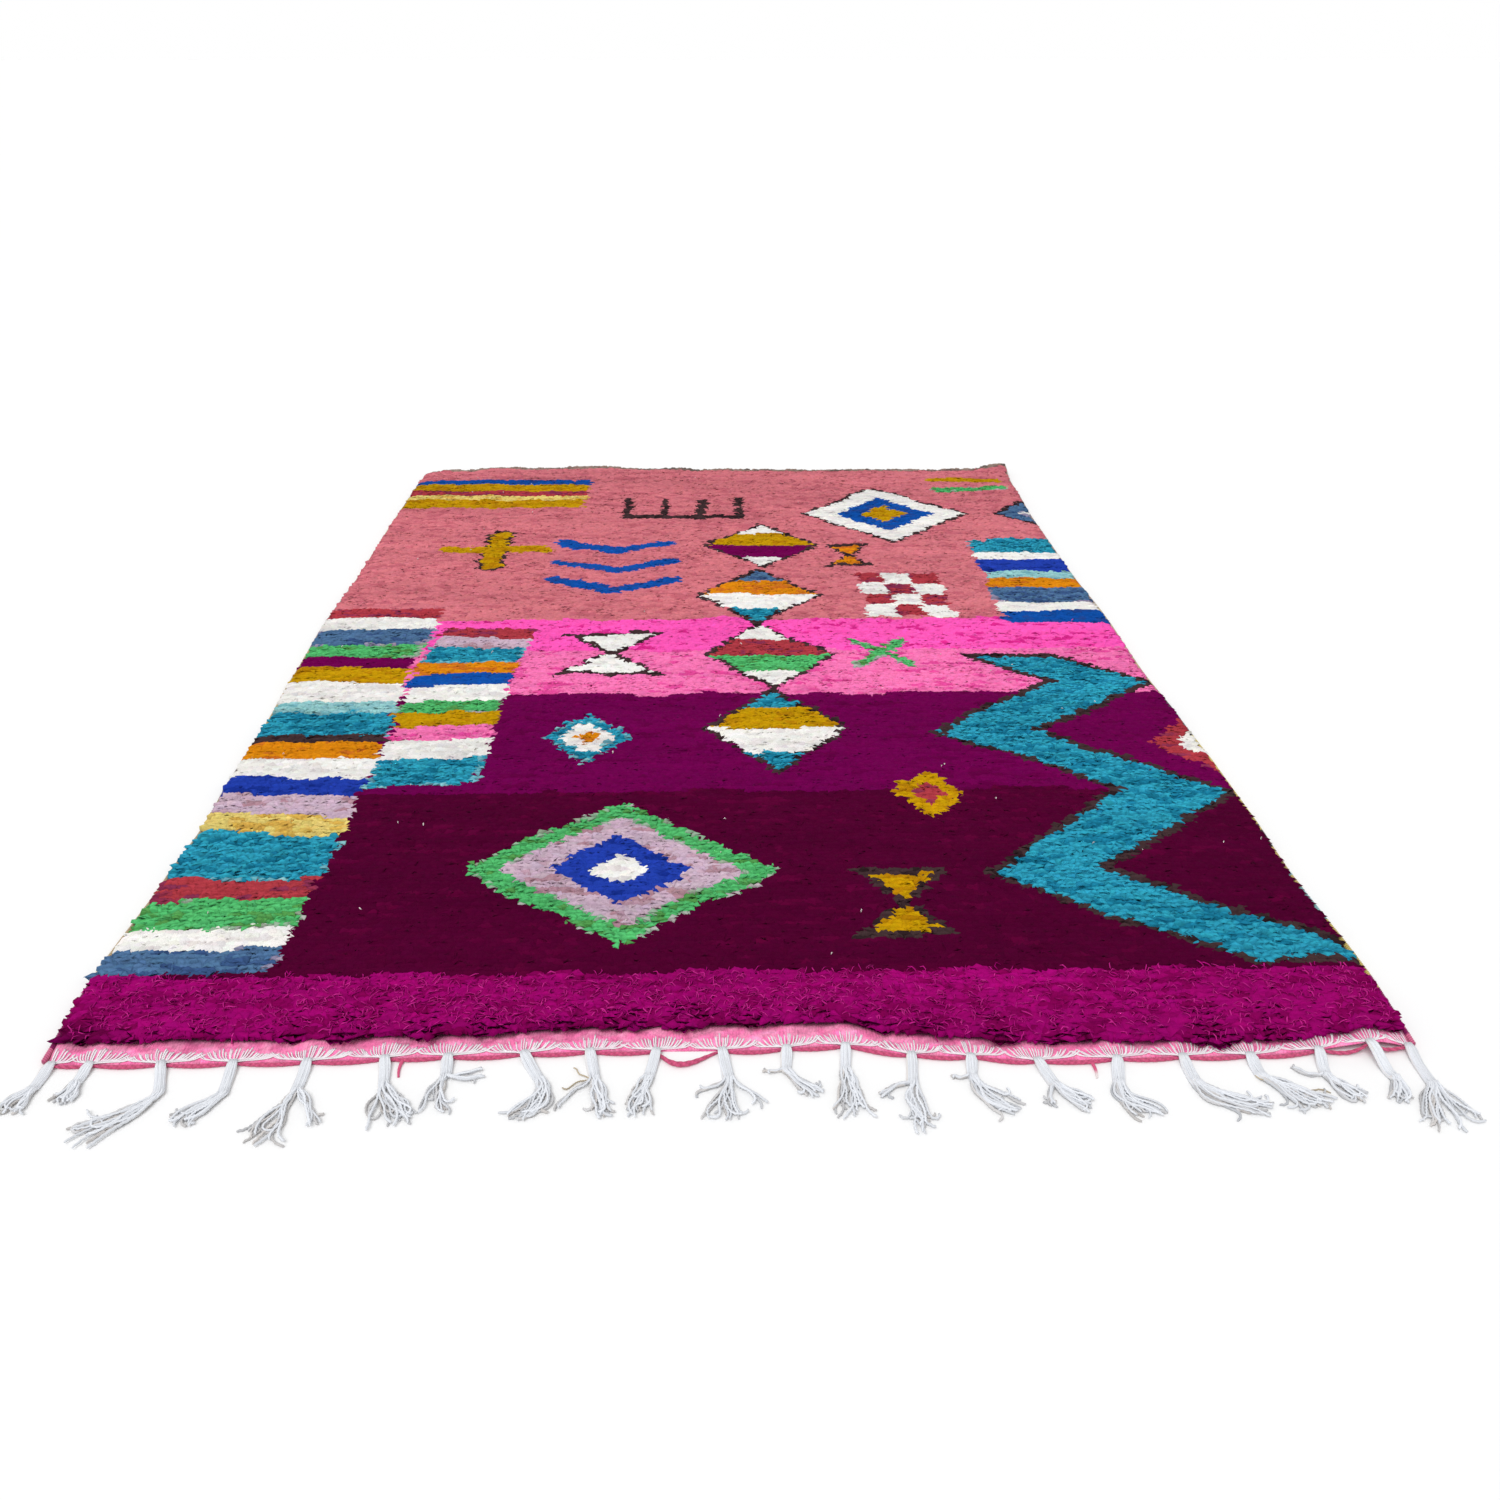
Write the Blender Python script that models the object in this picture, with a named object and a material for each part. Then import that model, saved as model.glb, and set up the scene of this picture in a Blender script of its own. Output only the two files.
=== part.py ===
"""A hand-knotted boujaad rug, laid flat.

The frame: X runs across the rug, Y along it with the tasselled end toward -Y, and Z is up.
The origin is the centre of the knotted field on the rug's underside. All sizes are in metres.

The woven cloth is one piece: a flat-woven strip at the near end, then ground with a lumpy knotted
pile. An overcast selvedge runs down each side, the last weft yarn hangs in swags along the near
edge, and a row of tassels is made of the warp ends.
"""

import math
import random
from collections import namedtuple

import bmesh
import bpy
from mathutils import Vector, noise

# Driving sizes of the knotted field
FIELD_LENGTH = 3.03
NEAR_LINE = -FIELD_LENGTH / 2
FAR_LINE = FIELD_LENGTH / 2
GAP = 0.0003

# Rings of the cloth's outline, from the floor up: how far each is drawn in from the sides and
# the far end, which near edge it follows and how far in from that, and its height
Ring = namedtuple("Ring", "inset near_edge near_inset height")
FLOOR_EDGE = Ring(0.0127, "strip", 0.0, 0.0)
CLOTH_EDGE = Ring(0.0127, "strip", 0.0, 0.003)
PILE_FOOT = Ring(0.0127, "pile", 0.015, 0.0042)
BELT_LOW = Ring(0.0095, "pile", 0.009, 0.0097)
BELT_HIGH = Ring(0.0050, "pile", 0.005, 0.0140)
PILE_CROWN = Ring(0.0130, "pile", 0.013, 0.0175)

# Lumps of the pile
PILE_LUMP = 0.007
PILE_LUMP_SIZE = 0.10

# Rows of the cloth, as shares of its length: closer at its lifted ends. Columns keep a margin
# from the sides, and a point on the outline settles in a few passes
NEAR_ROWS = (0.0, 0.010, 0.024, 0.045, 0.070)
FAR_ROWS = (0.955, 0.978, 1.0)
MIDDLE_ROWS = 26
COLUMN_MARGIN = 0.01
OUTLINE_PASSES = 3
NEAR_BLEND = 0.045

# Selvedge, a six-sided overcast roll down each side
SELVEDGE_WIDTH = 0.010
SELVEDGE_HEIGHT = 0.0084
SELVEDGE_INSET = 0.007
SELVEDGE_SETBACK = 0.003

# Weft yarn along the near edge
YARN_PINCH_WIDTH = 0.004
YARN_PINCH_HEIGHT = 0.004
YARN_SWAG_WIDTH = 0.007
YARN_SWAG_HEIGHT = 0.007
YARN_SWAG_SAG = 0.004
YARN_SEAT = 0.0006
YARN_PINCH_REACH = 0.011
YARN_FULL_SWAG = 0.080
YARN_END_MARGIN = 0.0035

# Tassels: a flat neck, then strands in one layer
STRANDS_PER_TASSEL = 6
NECK_ROOT_WIDTH = 0.014
NECK_WIDTH = 0.020
NECK_ROOT_HEIGHT = 0.005
NECK_HEIGHT = 0.008
NECK_BRIDGE = 0.014
NECK_LANDING = 0.028
NECK_LANDING_PER_HANG = 1.5
STRAND_INSET = 0.00025
STRAND_TIP_WIDTH = 0.0022
STRAND_HEIGHT = 0.0035
STRAND_TIP_HEIGHT = 0.0025
STRAND_STEPS = 3
STRAND_SIDE_CUT = 0.12
STRAND_UNEVEN_CUT = 0.16
SPRAY_STEPS = 24

# Locks of pile that stand out at the rim: on each cell at the near end, on each other cell
# elsewhere
LOCK_REACH = 0.012
LOCK_ASIDE = 0.006
LOCK_TAPER = 0.35
LOCK_DROOP = 0.001
LOCK_NEAR_DROOP = 0.005
LOCK_SEED = 11

# Outline of the two sides: distance from the near line, then x of each side
SIDE_COLUMNS = ("along", "left", "right")
SIDES = (
    (-0.05, -1.021, 1.021),
    (0.16, -1.027, 1.028),
    (0.46, -1.014, 1.017),
    (0.64, -1.006, 1.021),
    (0.83, -1.013, 1.020),
    (1.06, -1.013, 1.015),
    (1.33, -1.022, 1.005),
    (1.64, -1.030, 1.009),
    (2.01, -1.022, 0.998),
    (2.46, -1.026, 0.998),
    (2.80, -1.024, 1.008),
    (3.10, -1.017, 1.020),
)

# Near edge: how far the pile and the flat-woven strip reach past the near line
NEAR_COLUMNS = ("x", "pile", "strip")
NEAR_EDGE = (
    (-1.02, -0.009, 0.024),
    (-0.87, -0.011, 0.024),
    (-0.65, -0.013, 0.022),
    (-0.43, -0.016, 0.014),
    (-0.21, -0.030, 0.006),
    (0.00, -0.037, 0.007),
    (0.16, -0.038, -0.001),
    (0.27, -0.010, 0.021),
    (0.35, 0.003, 0.026),
    (0.44, 0.012, 0.037),
    (0.66, 0.013, 0.031),
    (0.77, 0.013, 0.030),
    (0.86, 0.011, 0.023),
    (1.03, 0.003, 0.017),
)

# Far edge: how far the field reaches past the far line
FAR_COLUMNS = ("x", "field")
FAR_EDGE = (
    (-1.02, -0.008),
    (-0.90, 0.016),
    (-0.79, 0.045),
    (-0.37, 0.045),
    (-0.25, 0.026),
    (0.00, 0.013),
    (0.15, 0.004),
    (0.88, 0.000),
    (1.03, 0.008),
)

# Tassels, left to right: x of the root, the neck's lean and length, then the spray's lean,
# its full spread, its curl along its length, and its length; angles in degrees, + toward +X
TASSEL_COLUMNS = ("x", "neck_lean", "neck", "spray_lean", "spread", "curl", "spray")
TASSELS = (
    (-1.001, -6, 0.052, -22, 24, -10, 0.064),
    (-0.945, -6, 0.040, 8, 16, -26, 0.050),
    (-0.842, 17, 0.062, -30, 14, -32, 0.154),
    (-0.736, 4, 0.066, -40, 36, -6, 0.092),
    (-0.628, 0, 0.060, -14, 22, 0, 0.130),
    (-0.516, 10, 0.054, 18, 36, 12, 0.112),
    (-0.423, 4, 0.044, -8, 34, 46, 0.092),
    (-0.313, 27, 0.064, 30, 12, -110, 0.112),
    (-0.215, 11, 0.058, 2, 24, 10, 0.100),
    (-0.115, -10, 0.058, -20, 18, 24, 0.094),
    (-0.019, 9, 0.062, -3, 50, -4, 0.104),
    (0.078, -4, 0.049, 40, 22, -4, 0.084),
    (0.166, -5, 0.051, 10, 18, -16, 0.118),
    (0.262, -6, 0.060, -26, 32, 50, 0.118),
    (0.349, -6, 0.044, 16, 20, 50, 0.110),
    (0.445, 15, 0.054, 25, 34, 32, 0.077),
    (0.565, -12, 0.051, -10, 24, 76, 0.102),
    (0.662, 2, 0.053, 24, 14, 66, 0.132),
    (0.762, 1, 0.042, 42, 14, 8, 0.124),
    (0.867, -10, 0.052, 18, 22, 30, 0.078),
    (0.941, 12, 0.062, -8, 20, -12, 0.062),
    (1.003, 0, 0.076, -14, 30, -4, 0.114),
)
TASSEL_ROOTS = [row[TASSEL_COLUMNS.index("x")] for row in TASSELS]

# Branches: strands at a tassel's side that run their own way, from the first to the last
# counted from the left, with their lean, curl and length
Branch = namedtuple("Branch", "tassel first last spray_lean curl spray")
BRANCHES = (
    Branch(5, 5, 6, 48, -70, 0.100),
    Branch(7, 5, 6, 74, 24, 0.064),
    Branch(9, 1, 1, -22, 0, 0.102),
    Branch(11, 1, 1, -32, 0, 0.072),
    Branch(11, 6, 6, 50, -66, 0.100),
    Branch(12, 1, 1, -66, -20, 0.040),
    Branch(14, 1, 2, -62, 36, 0.070),
    Branch(15, 1, 1, -70, -40, 0.036),
    Branch(16, 1, 2, -8, 0, 0.056),
    Branch(20, 1, 1, -84, -40, 0.062),
    Branch(22, 6, 6, 5, 12, 0.118),
)

# The swag that hangs deepest, counted from the left, and how far it hangs
LOOP_SWAG = 10
LOOP_SAG = 0.028

# Loose ends of the weft yarn: the swag each hangs from, counted from the left, its share along
# that swag, and its length; then a loose end's sections, the last at its tip
LooseEnd = namedtuple("LooseEnd", "swag share length")
LOOSE_ENDS = (LooseEnd(6, 0.30, 0.038), LooseEnd(16, 0.66, 0.036))
EndSection = namedtuple("EndSection", "share width height")
END_SECTIONS = (
    EndSection(0.3, 0.0052, 0.0042),
    EndSection(0.7, 0.0044, 0.0040),
    EndSection(1.0, 0.0028, 0.0030),
)

# The near right corner arches off the floor, and the far right corner curls up
ARCH_PEAK_X = 0.955
ARCH_LEFT_REACH = 0.130
ARCH_RIGHT_REACH = 0.070
ARCH_DEPTH = 0.220
ARCH_HEIGHT = 0.015
CURL_X = 0.880
CURL_Y = 1.400
CURL_REACH = 0.130
CURL_HEIGHT = 0.020

# Colours, in linear light
PILE_COLOUR = (0.22, 0.004, 0.10)
YARN_COLOUR = (0.62, 0.08, 0.20)
SELVEDGE_COLOUR = (0.42, 0.33, 0.12)
COTTON_COLOUR = (0.80, 0.81, 0.84)


def clear_scene():
    for item in list(bpy.data.objects):
        bpy.data.objects.remove(item)


def fabric(name, colour, roughness):
    material = bpy.data.materials.new(name)
    material.use_nodes = True
    shader = material.node_tree.nodes["Principled BSDF"]
    shader.inputs["Base Color"].default_value = (*colour, 1.0)
    shader.inputs["Roughness"].default_value = roughness
    shader.inputs["Metallic"].default_value = 0.0
    return material


def mix(low, high, share):
    return low + (high - low) * share


def ease(share):
    share = min(max(share, 0.0), 1.0)
    return share * share * (3 - 2 * share)


def read(table, column, at):
    """The table's column at a place along its first column, eased between its rows."""
    if at <= table[0][0]:
        return table[0][column]
    for low, high in zip(table, table[1:]):
        if at <= high[0]:
            return mix(low[column], high[column], ease((at - low[0]) / (high[0] - low[0])))
    return table[-1][column]


def side_x(column, y):
    return read(SIDES, SIDE_COLUMNS.index(column), y - NEAR_LINE)


def near_y(column, x):
    return NEAR_LINE - read(NEAR_EDGE, NEAR_COLUMNS.index(column), x)


def far_y(x):
    return FAR_LINE + read(FAR_EDGE, FAR_COLUMNS.index("field"), x)


def lift(x, y):
    """Height of the cloth's underside over the floor."""
    reach = ARCH_LEFT_REACH if x < ARCH_PEAK_X else ARCH_RIGHT_REACH
    across = 1 - ease(abs(x - ARCH_PEAK_X) / reach)
    along = 1 - ease((y - NEAR_LINE) / ARCH_DEPTH)
    curl = ease((x - CURL_X) / CURL_REACH) * ease((y - CURL_Y) / CURL_REACH)
    return ARCH_HEIGHT * across * along + CURL_HEIGHT * curl


def field_point(across, along, ring):
    """A place on the cloth by its shares across and along, inside a ring of its outline."""
    y = mix(NEAR_LINE, FAR_LINE, along)
    for _ in range(OUTLINE_PASSES):
        x = mix(side_x("left", y) + ring.inset, side_x("right", y) - ring.inset, across)
        edge = near_y("strip", x)
        setback = near_y(ring.near_edge, x) + ring.near_inset - edge
        far_share = max(0.0, along - FAR_ROWS[0]) / (1 - FAR_ROWS[0])
        far = far_y(x) - mix(CLOTH_EDGE.inset, ring.inset, far_share)
        y = mix(edge, far, along) + setback * max(0.0, 1 - along / NEAR_BLEND)
    return x, y


def finish(mesh, name, material):
    """Make a named object of the mesh, with its faces pointing out."""
    bmesh.ops.recalc_face_normals(mesh, faces=mesh.faces)
    data = bpy.data.meshes.new(name)
    mesh.to_mesh(data)
    mesh.free()
    data.materials.append(material)
    data.shade_smooth()
    data.set_sharp_from_angle(angle=math.radians(50))
    item = bpy.data.objects.new(name, data)
    bpy.context.collection.objects.link(item)
    return item


def extend(mesh, cap):
    """Extrude a cap once; its old faces stay only where they close the start."""
    is_start = len(mesh.faces) == len(cap)
    grown = bmesh.ops.extrude_face_region(mesh, geom=cap)["geom"]
    if not is_start:
        bmesh.ops.delete(mesh, geom=cap, context="FACES_ONLY")
    new_cap = [item for item in grown if isinstance(item, bmesh.types.BMFace)]
    new_verts = [item for item in grown if isinstance(item, bmesh.types.BMVert)]
    return new_cap, new_verts


def unit_grid(mesh, unit, cells_across, cells_along):
    """A grid whose vertices keep their shares across and along."""
    made = bmesh.ops.create_grid(mesh, x_segments=cells_across, y_segments=cells_along, size=0.5)
    for vert in made["verts"]:
        vert[unit] = (vert.co.x + 0.5, vert.co.y + 0.5, 0.0)
    return made["verts"]


def rim_edges(verts):
    """The open edges of the sheet that these vertices make."""
    edges = {edge for vert in verts for edge in vert.link_edges}
    return [edge for edge in edges if len(edge.link_faces) == 1]


def grow_rim(mesh, edges, place):
    """Extrude an open rim once, and put its new vertices in place."""
    grown = bmesh.ops.extrude_edge_only(mesh, edges=edges)["geom"]
    for vert in (item for item in grown if isinstance(item, bmesh.types.BMVert)):
        vert.co = place(vert)
    ring = [item for item in grown if isinstance(item, bmesh.types.BMEdge)]
    faces = [item for item in grown if isinstance(item, bmesh.types.BMFace)]
    return ring, faces


def merge_level_cells(mesh, height):
    """Join all cells that lie level at this height into one face."""
    level = [
        face
        for face in mesh.faces
        if all(abs(vert.co.z - height) < 1e-7 for vert in face.verts)
    ]
    bmesh.ops.dissolve_faces(mesh, faces=level, use_verts=True)


def column_shares():
    """Shares across at which the cloth has a column: one at each tassel and at each swag."""
    middles = [(low + high) / 2 for low, high in zip(TASSEL_ROOTS, TASSEL_ROOTS[1:])]
    left = side_x("left", NEAR_LINE) + CLOTH_EDGE.inset
    right = side_x("right", NEAR_LINE) - CLOTH_EDGE.inset
    kept = (left + COLUMN_MARGIN, right - COLUMN_MARGIN)
    inner = [x for x in TASSEL_ROOTS + middles if kept[0] < x < kept[1]]
    return [0.0] + sorted((x - left) / (right - left) for x in inner) + [1.0]


def row_shares():
    """Shares along at which the cloth has a row: closer at its lifted ends."""
    start, end = NEAR_ROWS[-1], FAR_ROWS[0]
    middle = [mix(start, end, step / MIDDLE_ROWS) for step in range(1, MIDDLE_ROWS)]
    return [*NEAR_ROWS, *middle, *FAR_ROWS]


def strip_edge_y(x):
    """The strip's near edge at x, straight between the cloth's columns."""
    line = [field_point(share, 0.0, FLOOR_EDGE) for share in column_shares()]
    for low, high in zip(line, line[1:]):
        if x <= high[0]:
            return mix(low[1], high[1], (x - low[0]) / (high[0] - low[0]))
    return line[-1][1]


def build_woven_rug(material):
    """The woven cloth in one piece: flat-woven strip, ground and lumpy pile with rim locks."""
    mesh = bmesh.new()
    unit = mesh.verts.layers.float_vector.new("unit")
    columns = column_shares()
    rows = row_shares()

    def stand(ring, lump=0.0):
        def place(vert):
            across = columns[round(vert[unit].x * (len(columns) - 1))]
            along = rows[round(vert[unit].y * (len(rows) - 1))]
            x, y = field_point(across, along, ring)
            rise = lump * noise.noise(Vector((x, y, 0.0)) / PILE_LUMP_SIZE)
            return Vector((x, y, ring.height + rise + lift(x, y)))

        return place

    def sheet(place):
        verts = unit_grid(mesh, unit, len(columns) - 1, len(rows) - 1)
        for vert in verts:
            vert.co = place(vert)
        return verts

    sheet(stand(FLOOR_EDGE))
    edges = rim_edges(sheet(stand(PILE_CROWN, PILE_LUMP)))
    edges, _ = grow_rim(mesh, edges, stand(BELT_HIGH))
    edges, belt = grow_rim(mesh, edges, stand(BELT_LOW))
    for ring in (PILE_FOOT, CLOTH_EDGE, FLOOR_EDGE):
        edges, _ = grow_rim(mesh, edges, stand(ring))
    bmesh.ops.remove_doubles(mesh, verts=mesh.verts, dist=0.00001)
    merge_level_cells(mesh, FLOOR_EDGE.height)
    bmesh.ops.recalc_face_normals(mesh, faces=mesh.faces)
    pull_locks(mesh, belt, unit)
    return finish(mesh, "woven_rug", material)


def pull_locks(mesh, belt, unit):
    """Split each chosen face of the belt in three, and draw its middle out into a lock."""
    chance = random.Random(LOCK_SEED)
    belt.sort(key=lambda face: tuple(sum((vert[unit] for vert in face.verts), Vector())))
    for number, face in enumerate(belt):
        is_near = all(vert[unit].y == 0.0 for vert in face.verts)
        if not is_near and number % 2:
            continue
        long_edges = sorted(face.edges, key=lambda edge: edge.calc_length())[-2:]
        split = bmesh.ops.subdivide_edges(mesh, edges=long_edges, cuts=2)["geom_inner"]
        cuts = {item for item in split if isinstance(item, bmesh.types.BMVert)}
        around = {item for vert in cuts for item in vert.link_faces}
        root = next(item for item in around if all(vert in cuts for vert in item.verts))
        draw_lock(mesh, root, LOCK_NEAR_DROOP if is_near else LOCK_DROOP, chance)


def draw_lock(mesh, root, droop, chance):
    """A tapered lock, drawn out of one face and turned a little aside."""
    out = Vector((root.normal.x, root.normal.y, 0.0)).normalized()
    aside = Vector((-out.y, out.x, 0.0))
    tip = bmesh.ops.extrude_discrete_faces(mesh, faces=[root])["faces"][0]
    centre = tip.calc_center_median()
    shift = out * LOCK_REACH * chance.uniform(0.7, 1.1)
    shift += aside * chance.uniform(-LOCK_ASIDE, LOCK_ASIDE)
    shift.z -= droop
    for vert in tip.verts:
        vert.co = centre + (vert.co - centre) * LOCK_TAPER + shift


def six_sided(unit_point):
    """Shares across and up of a level six-sided section, from a unit circle's vertex."""
    return unit_point.x, unit_point.y / math.sin(math.radians(60)) / 2 + 0.5


def build_cord(name, stations, material, ends=()):
    """A six-sided cord through its stations: centre on the floor, way across, width, height."""
    mesh = bmesh.new()
    unit = mesh.verts.layers.float_vector.new("unit")
    start = bmesh.ops.create_circle(mesh, cap_ends=True, segments=6, radius=1.0)["verts"]
    for vert in start:
        turned = math.atan2(vert.co.y, vert.co.x) + math.radians(30)
        vert[unit] = (math.cos(turned), math.sin(turned), 0.0)
    cap = mesh.faces[:]
    verts = list(start)
    for number, (base, across, width, height) in enumerate(stations):
        if number:
            cap, verts = extend(mesh, cap)
        for vert in verts:
            aside, up = six_sided(vert[unit])
            vert.co = base + across * (aside * width / 2) + Vector((0, 0, up * height))
    bmesh.ops.recalc_face_normals(mesh, faces=mesh.faces)
    for place, length in ends:
        draw_loose_end(mesh, place, length)
    return finish(mesh, name, material)


def draw_loose_end(mesh, place, length):
    """A yarn's end, drawn out of the cord's near side and laid on the floor."""
    facing = [face for face in mesh.faces if face.normal.y < -0.6 and face.normal.z < 0.0]
    tip = min(facing, key=lambda face: (face.calc_center_median() - place).length)
    for share, width, height in END_SECTIONS:
        tip = bmesh.ops.extrude_discrete_faces(mesh, faces=[tip])["faces"][0]
        by_height = sorted(tip.verts, key=lambda vert: vert.co.z)
        for pair, z in ((by_height[:2], 0.0), (by_height[2:], height)):
            for vert, side in zip(sorted(pair, key=lambda vert: vert.co.x), (-0.5, 0.5)):
                vert.co = Vector((place.x + side * width, place.y - length * share, z))


def build_selvedge(name, side, sign, material):
    """The overcast roll down one side, with a station at each row of the cloth."""
    across = Vector((1.0, 0.0, 0.0))
    stations = []
    for share in row_shares():
        x, y = field_point(side, share, CLOTH_EDGE)
        x += sign * (CLOTH_EDGE.inset - SELVEDGE_INSET)
        if not stations:
            y += SELVEDGE_SETBACK
        base = Vector((x, y, lift(x, y)))
        stations.append((base, across, SELVEDGE_WIDTH, SELVEDGE_HEIGHT))
    return build_cord(name, stations, material)


def yarn_station(x, share, root, sag=YARN_SWAG_SAG):
    """Section of the weft yarn: share is 0 where a tassel pinches it, 1 where it hangs most."""
    width = mix(YARN_PINCH_WIDTH, YARN_SWAG_WIDTH, share)
    height = mix(YARN_PINCH_HEIGHT, YARN_SWAG_HEIGHT, share)
    y = strip_edge_y(x) - YARN_SEAT - width / 2 - sag * share
    z = lift(root, strip_edge_y(root)) * (1 - share)
    return Vector((x, y, z)), Vector((0.0, 1.0, 0.0)), width, height


def build_edge_yarn(material):
    """The last weft yarn, which hangs out in a swag between each two tassels."""
    first, last = TASSEL_ROOTS[0], TASSEL_ROOTS[-1]
    stations = [yarn_station(first - YARN_END_MARGIN, 0.0, first)]
    for swag, (low, high) in enumerate(zip(TASSEL_ROOTS, TASSEL_ROOTS[1:]), start=1):
        middle = (low + high) / 2
        fullness = min(1.0, (high - low) / YARN_FULL_SWAG)
        pinch = min(YARN_PINCH_REACH, (high - low) / 4)
        stations += [yarn_station(x, 0.0, low) for x in (low, low + pinch)]
        sag = LOOP_SAG if swag == LOOP_SWAG else YARN_SWAG_SAG
        stations.append(yarn_station(middle, fullness, low, sag))
        stations.append(yarn_station(high - pinch, 0.0, high))
    stations += [yarn_station(x, 0.0, last) for x in (last, last + YARN_END_MARGIN)]
    ends = []
    for swag, share, length in LOOSE_ENDS:
        x = mix(TASSEL_ROOTS[swag - 1], TASSEL_ROOTS[swag], share)
        ends.append((yarn_station(x, share, x)[0], length))
    return build_cord("edge_yarn", stations, material, ends)


def heading(degrees):
    """The way a strand runs, from its lean off -Y toward +X."""
    lean = math.radians(degrees)
    return Vector((math.sin(lean), -math.cos(lean), 0.0))


def rightward(way):
    """Level direction across a strand, to the right where it runs toward -Y."""
    return Vector((-way.y, way.x, 0.0))


def neck_stations(row):
    """Sections of a tassel's neck: base, width and height. It bridges the yarn, then lands."""
    x = row["x"]
    edge = strip_edge_y(x)
    hang = lift(x, edge)
    root = Vector((x, edge - GAP, 0.0))
    over_yarn = Vector((0.0, 0.0, YARN_PINCH_HEIGHT + GAP + hang))
    way = heading(row["neck_lean"])
    landing = NECK_LANDING + NECK_LANDING_PER_HANG * hang
    return [
        (root + over_yarn, NECK_ROOT_WIDTH, NECK_ROOT_HEIGHT),
        (root + over_yarn + way * NECK_BRIDGE, NECK_WIDTH, NECK_ROOT_HEIGHT),
        (root + way * landing, NECK_WIDTH, NECK_HEIGHT),
        (root + way * row["neck"], NECK_WIDTH, NECK_HEIGHT),
    ]


def spray_centre(way, start, share):
    """Centre of a spray and the way it heads, at a share of its length."""
    spot = start.copy()
    for step in range(SPRAY_STEPS):
        turned = way["curl"] * share * (step + 0.5) / SPRAY_STEPS
        spot += heading(way["spray_lean"] + turned) * (way["spray"] * share / SPRAY_STEPS)
    return spot, heading(way["spray_lean"] + way["curl"] * share)


def branch_of(tassel, strand):
    """The lean, curl and length of a strand's own branch, if it is in one."""
    for branch in BRANCHES:
        if branch.tassel == tassel and branch.first <= strand <= branch.last:
            return {"spray_lean": branch.spray_lean, "curl": branch.curl, "spray": branch.spray}
    return {}


def build_tassel(number, values, material):
    """A tassel of warp ends: its neck, then strands that part from it in one layer."""
    row = dict(zip(TASSEL_COLUMNS, values))
    chance = random.Random(number)
    mesh = bmesh.new()
    unit = mesh.verts.layers.float_vector.new("unit")
    verts = unit_grid(mesh, unit, STRANDS_PER_TASSEL, 1)
    cap = mesh.faces[:]
    across = rightward(heading(row["neck_lean"]))
    for step, (base, width, height) in enumerate(neck_stations(row)):
        if step:
            cap, verts = extend(mesh, cap)
        for vert in verts:
            aside = across * (vert[unit].x - 0.5) * width
            vert.co = base + aside + Vector((0.0, 0.0, vert[unit].y * height))
    cap.sort(key=lambda face: sum(vert[unit].x for vert in face.verts))
    bmesh.ops.inset_individual(mesh, faces=cap, thickness=STRAND_INSET)
    for strand, face in enumerate(cap, start=1):
        tag_corners(face, unit, across)
        side = (strand - 0.5) / STRANDS_PER_TASSEL * 2 - 1
        draw_strand(mesh, unit, face, side, row | branch_of(number, strand), base, chance)
    return finish(mesh, f"tassel_{number:02d}", material)


def tag_corners(face, unit, across):
    """Note on each corner of a strand's root which side it is on, and if it is the top."""
    centre = face.calc_center_median()
    for vert in face.verts:
        away = vert.co - centre
        vert[unit] = (math.copysign(1.0, away.dot(across)), float(away.z > 0.0), 0.0)


def draw_strand(mesh, unit, face, side, row, start, chance):
    """One strand, extruded step by step from its cell of the neck's end."""
    root_width = NECK_WIDTH / STRANDS_PER_TASSEL - 2 * STRAND_INSET
    fan = row["spray"] * math.tan(math.radians(row["spread"] / 2))
    cut = 1.0 - STRAND_SIDE_CUT * abs(side) - chance.uniform(0.0, STRAND_UNEVEN_CUT)
    for step in range(1, STRAND_STEPS + 1):
        share = step / STRAND_STEPS * cut
        spot, way = spray_centre(row, start, share)
        across = rightward(way)
        spot += across * side * (NECK_WIDTH / 2 + fan * share)
        width = mix(root_width, STRAND_TIP_WIDTH, share)
        height = mix(STRAND_HEIGHT, STRAND_TIP_HEIGHT, share)
        face = bmesh.ops.extrude_discrete_faces(mesh, faces=[face])["faces"][0]
        for vert in face.verts:
            aside = across * (vert[unit].x * width / 2)
            vert.co = spot + aside + Vector((0.0, 0.0, vert[unit].y * height))


def build_rug():
    clear_scene()
    build_woven_rug(fabric("pile wool", PILE_COLOUR, 0.95))
    build_selvedge("selvedge_left", 0.0, -1, fabric("selvedge wool left", SELVEDGE_COLOUR, 0.9))
    build_selvedge("selvedge_right", 1.0, 1, fabric("selvedge wool right", SELVEDGE_COLOUR, 0.9))
    build_edge_yarn(fabric("weft yarn", YARN_COLOUR, 0.85))
    for number, values in enumerate(TASSELS, start=1):
        build_tassel(number, values, fabric(f"cotton {number:02d}", COTTON_COLOUR, 0.8))


build_rug()
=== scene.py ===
"""Looks of a hand-knotted boujaad rug, laid flat on a pale floor.

X runs across the rug, Y along it with the tasselled end toward -Y, and Z is up. The origin is the
centre of the knotted field on the rug's underside. All sizes are in metres.

Every lock of pile is a small bent body with a colour of its own, taken from a chart of
traditional signs that is drawn here in metres, with its edges stepped knot by knot.
"""

import math
from collections import namedtuple

import bpy
import numpy as np
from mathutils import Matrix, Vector
from mathutils.bvhtree import BVHTree


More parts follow.
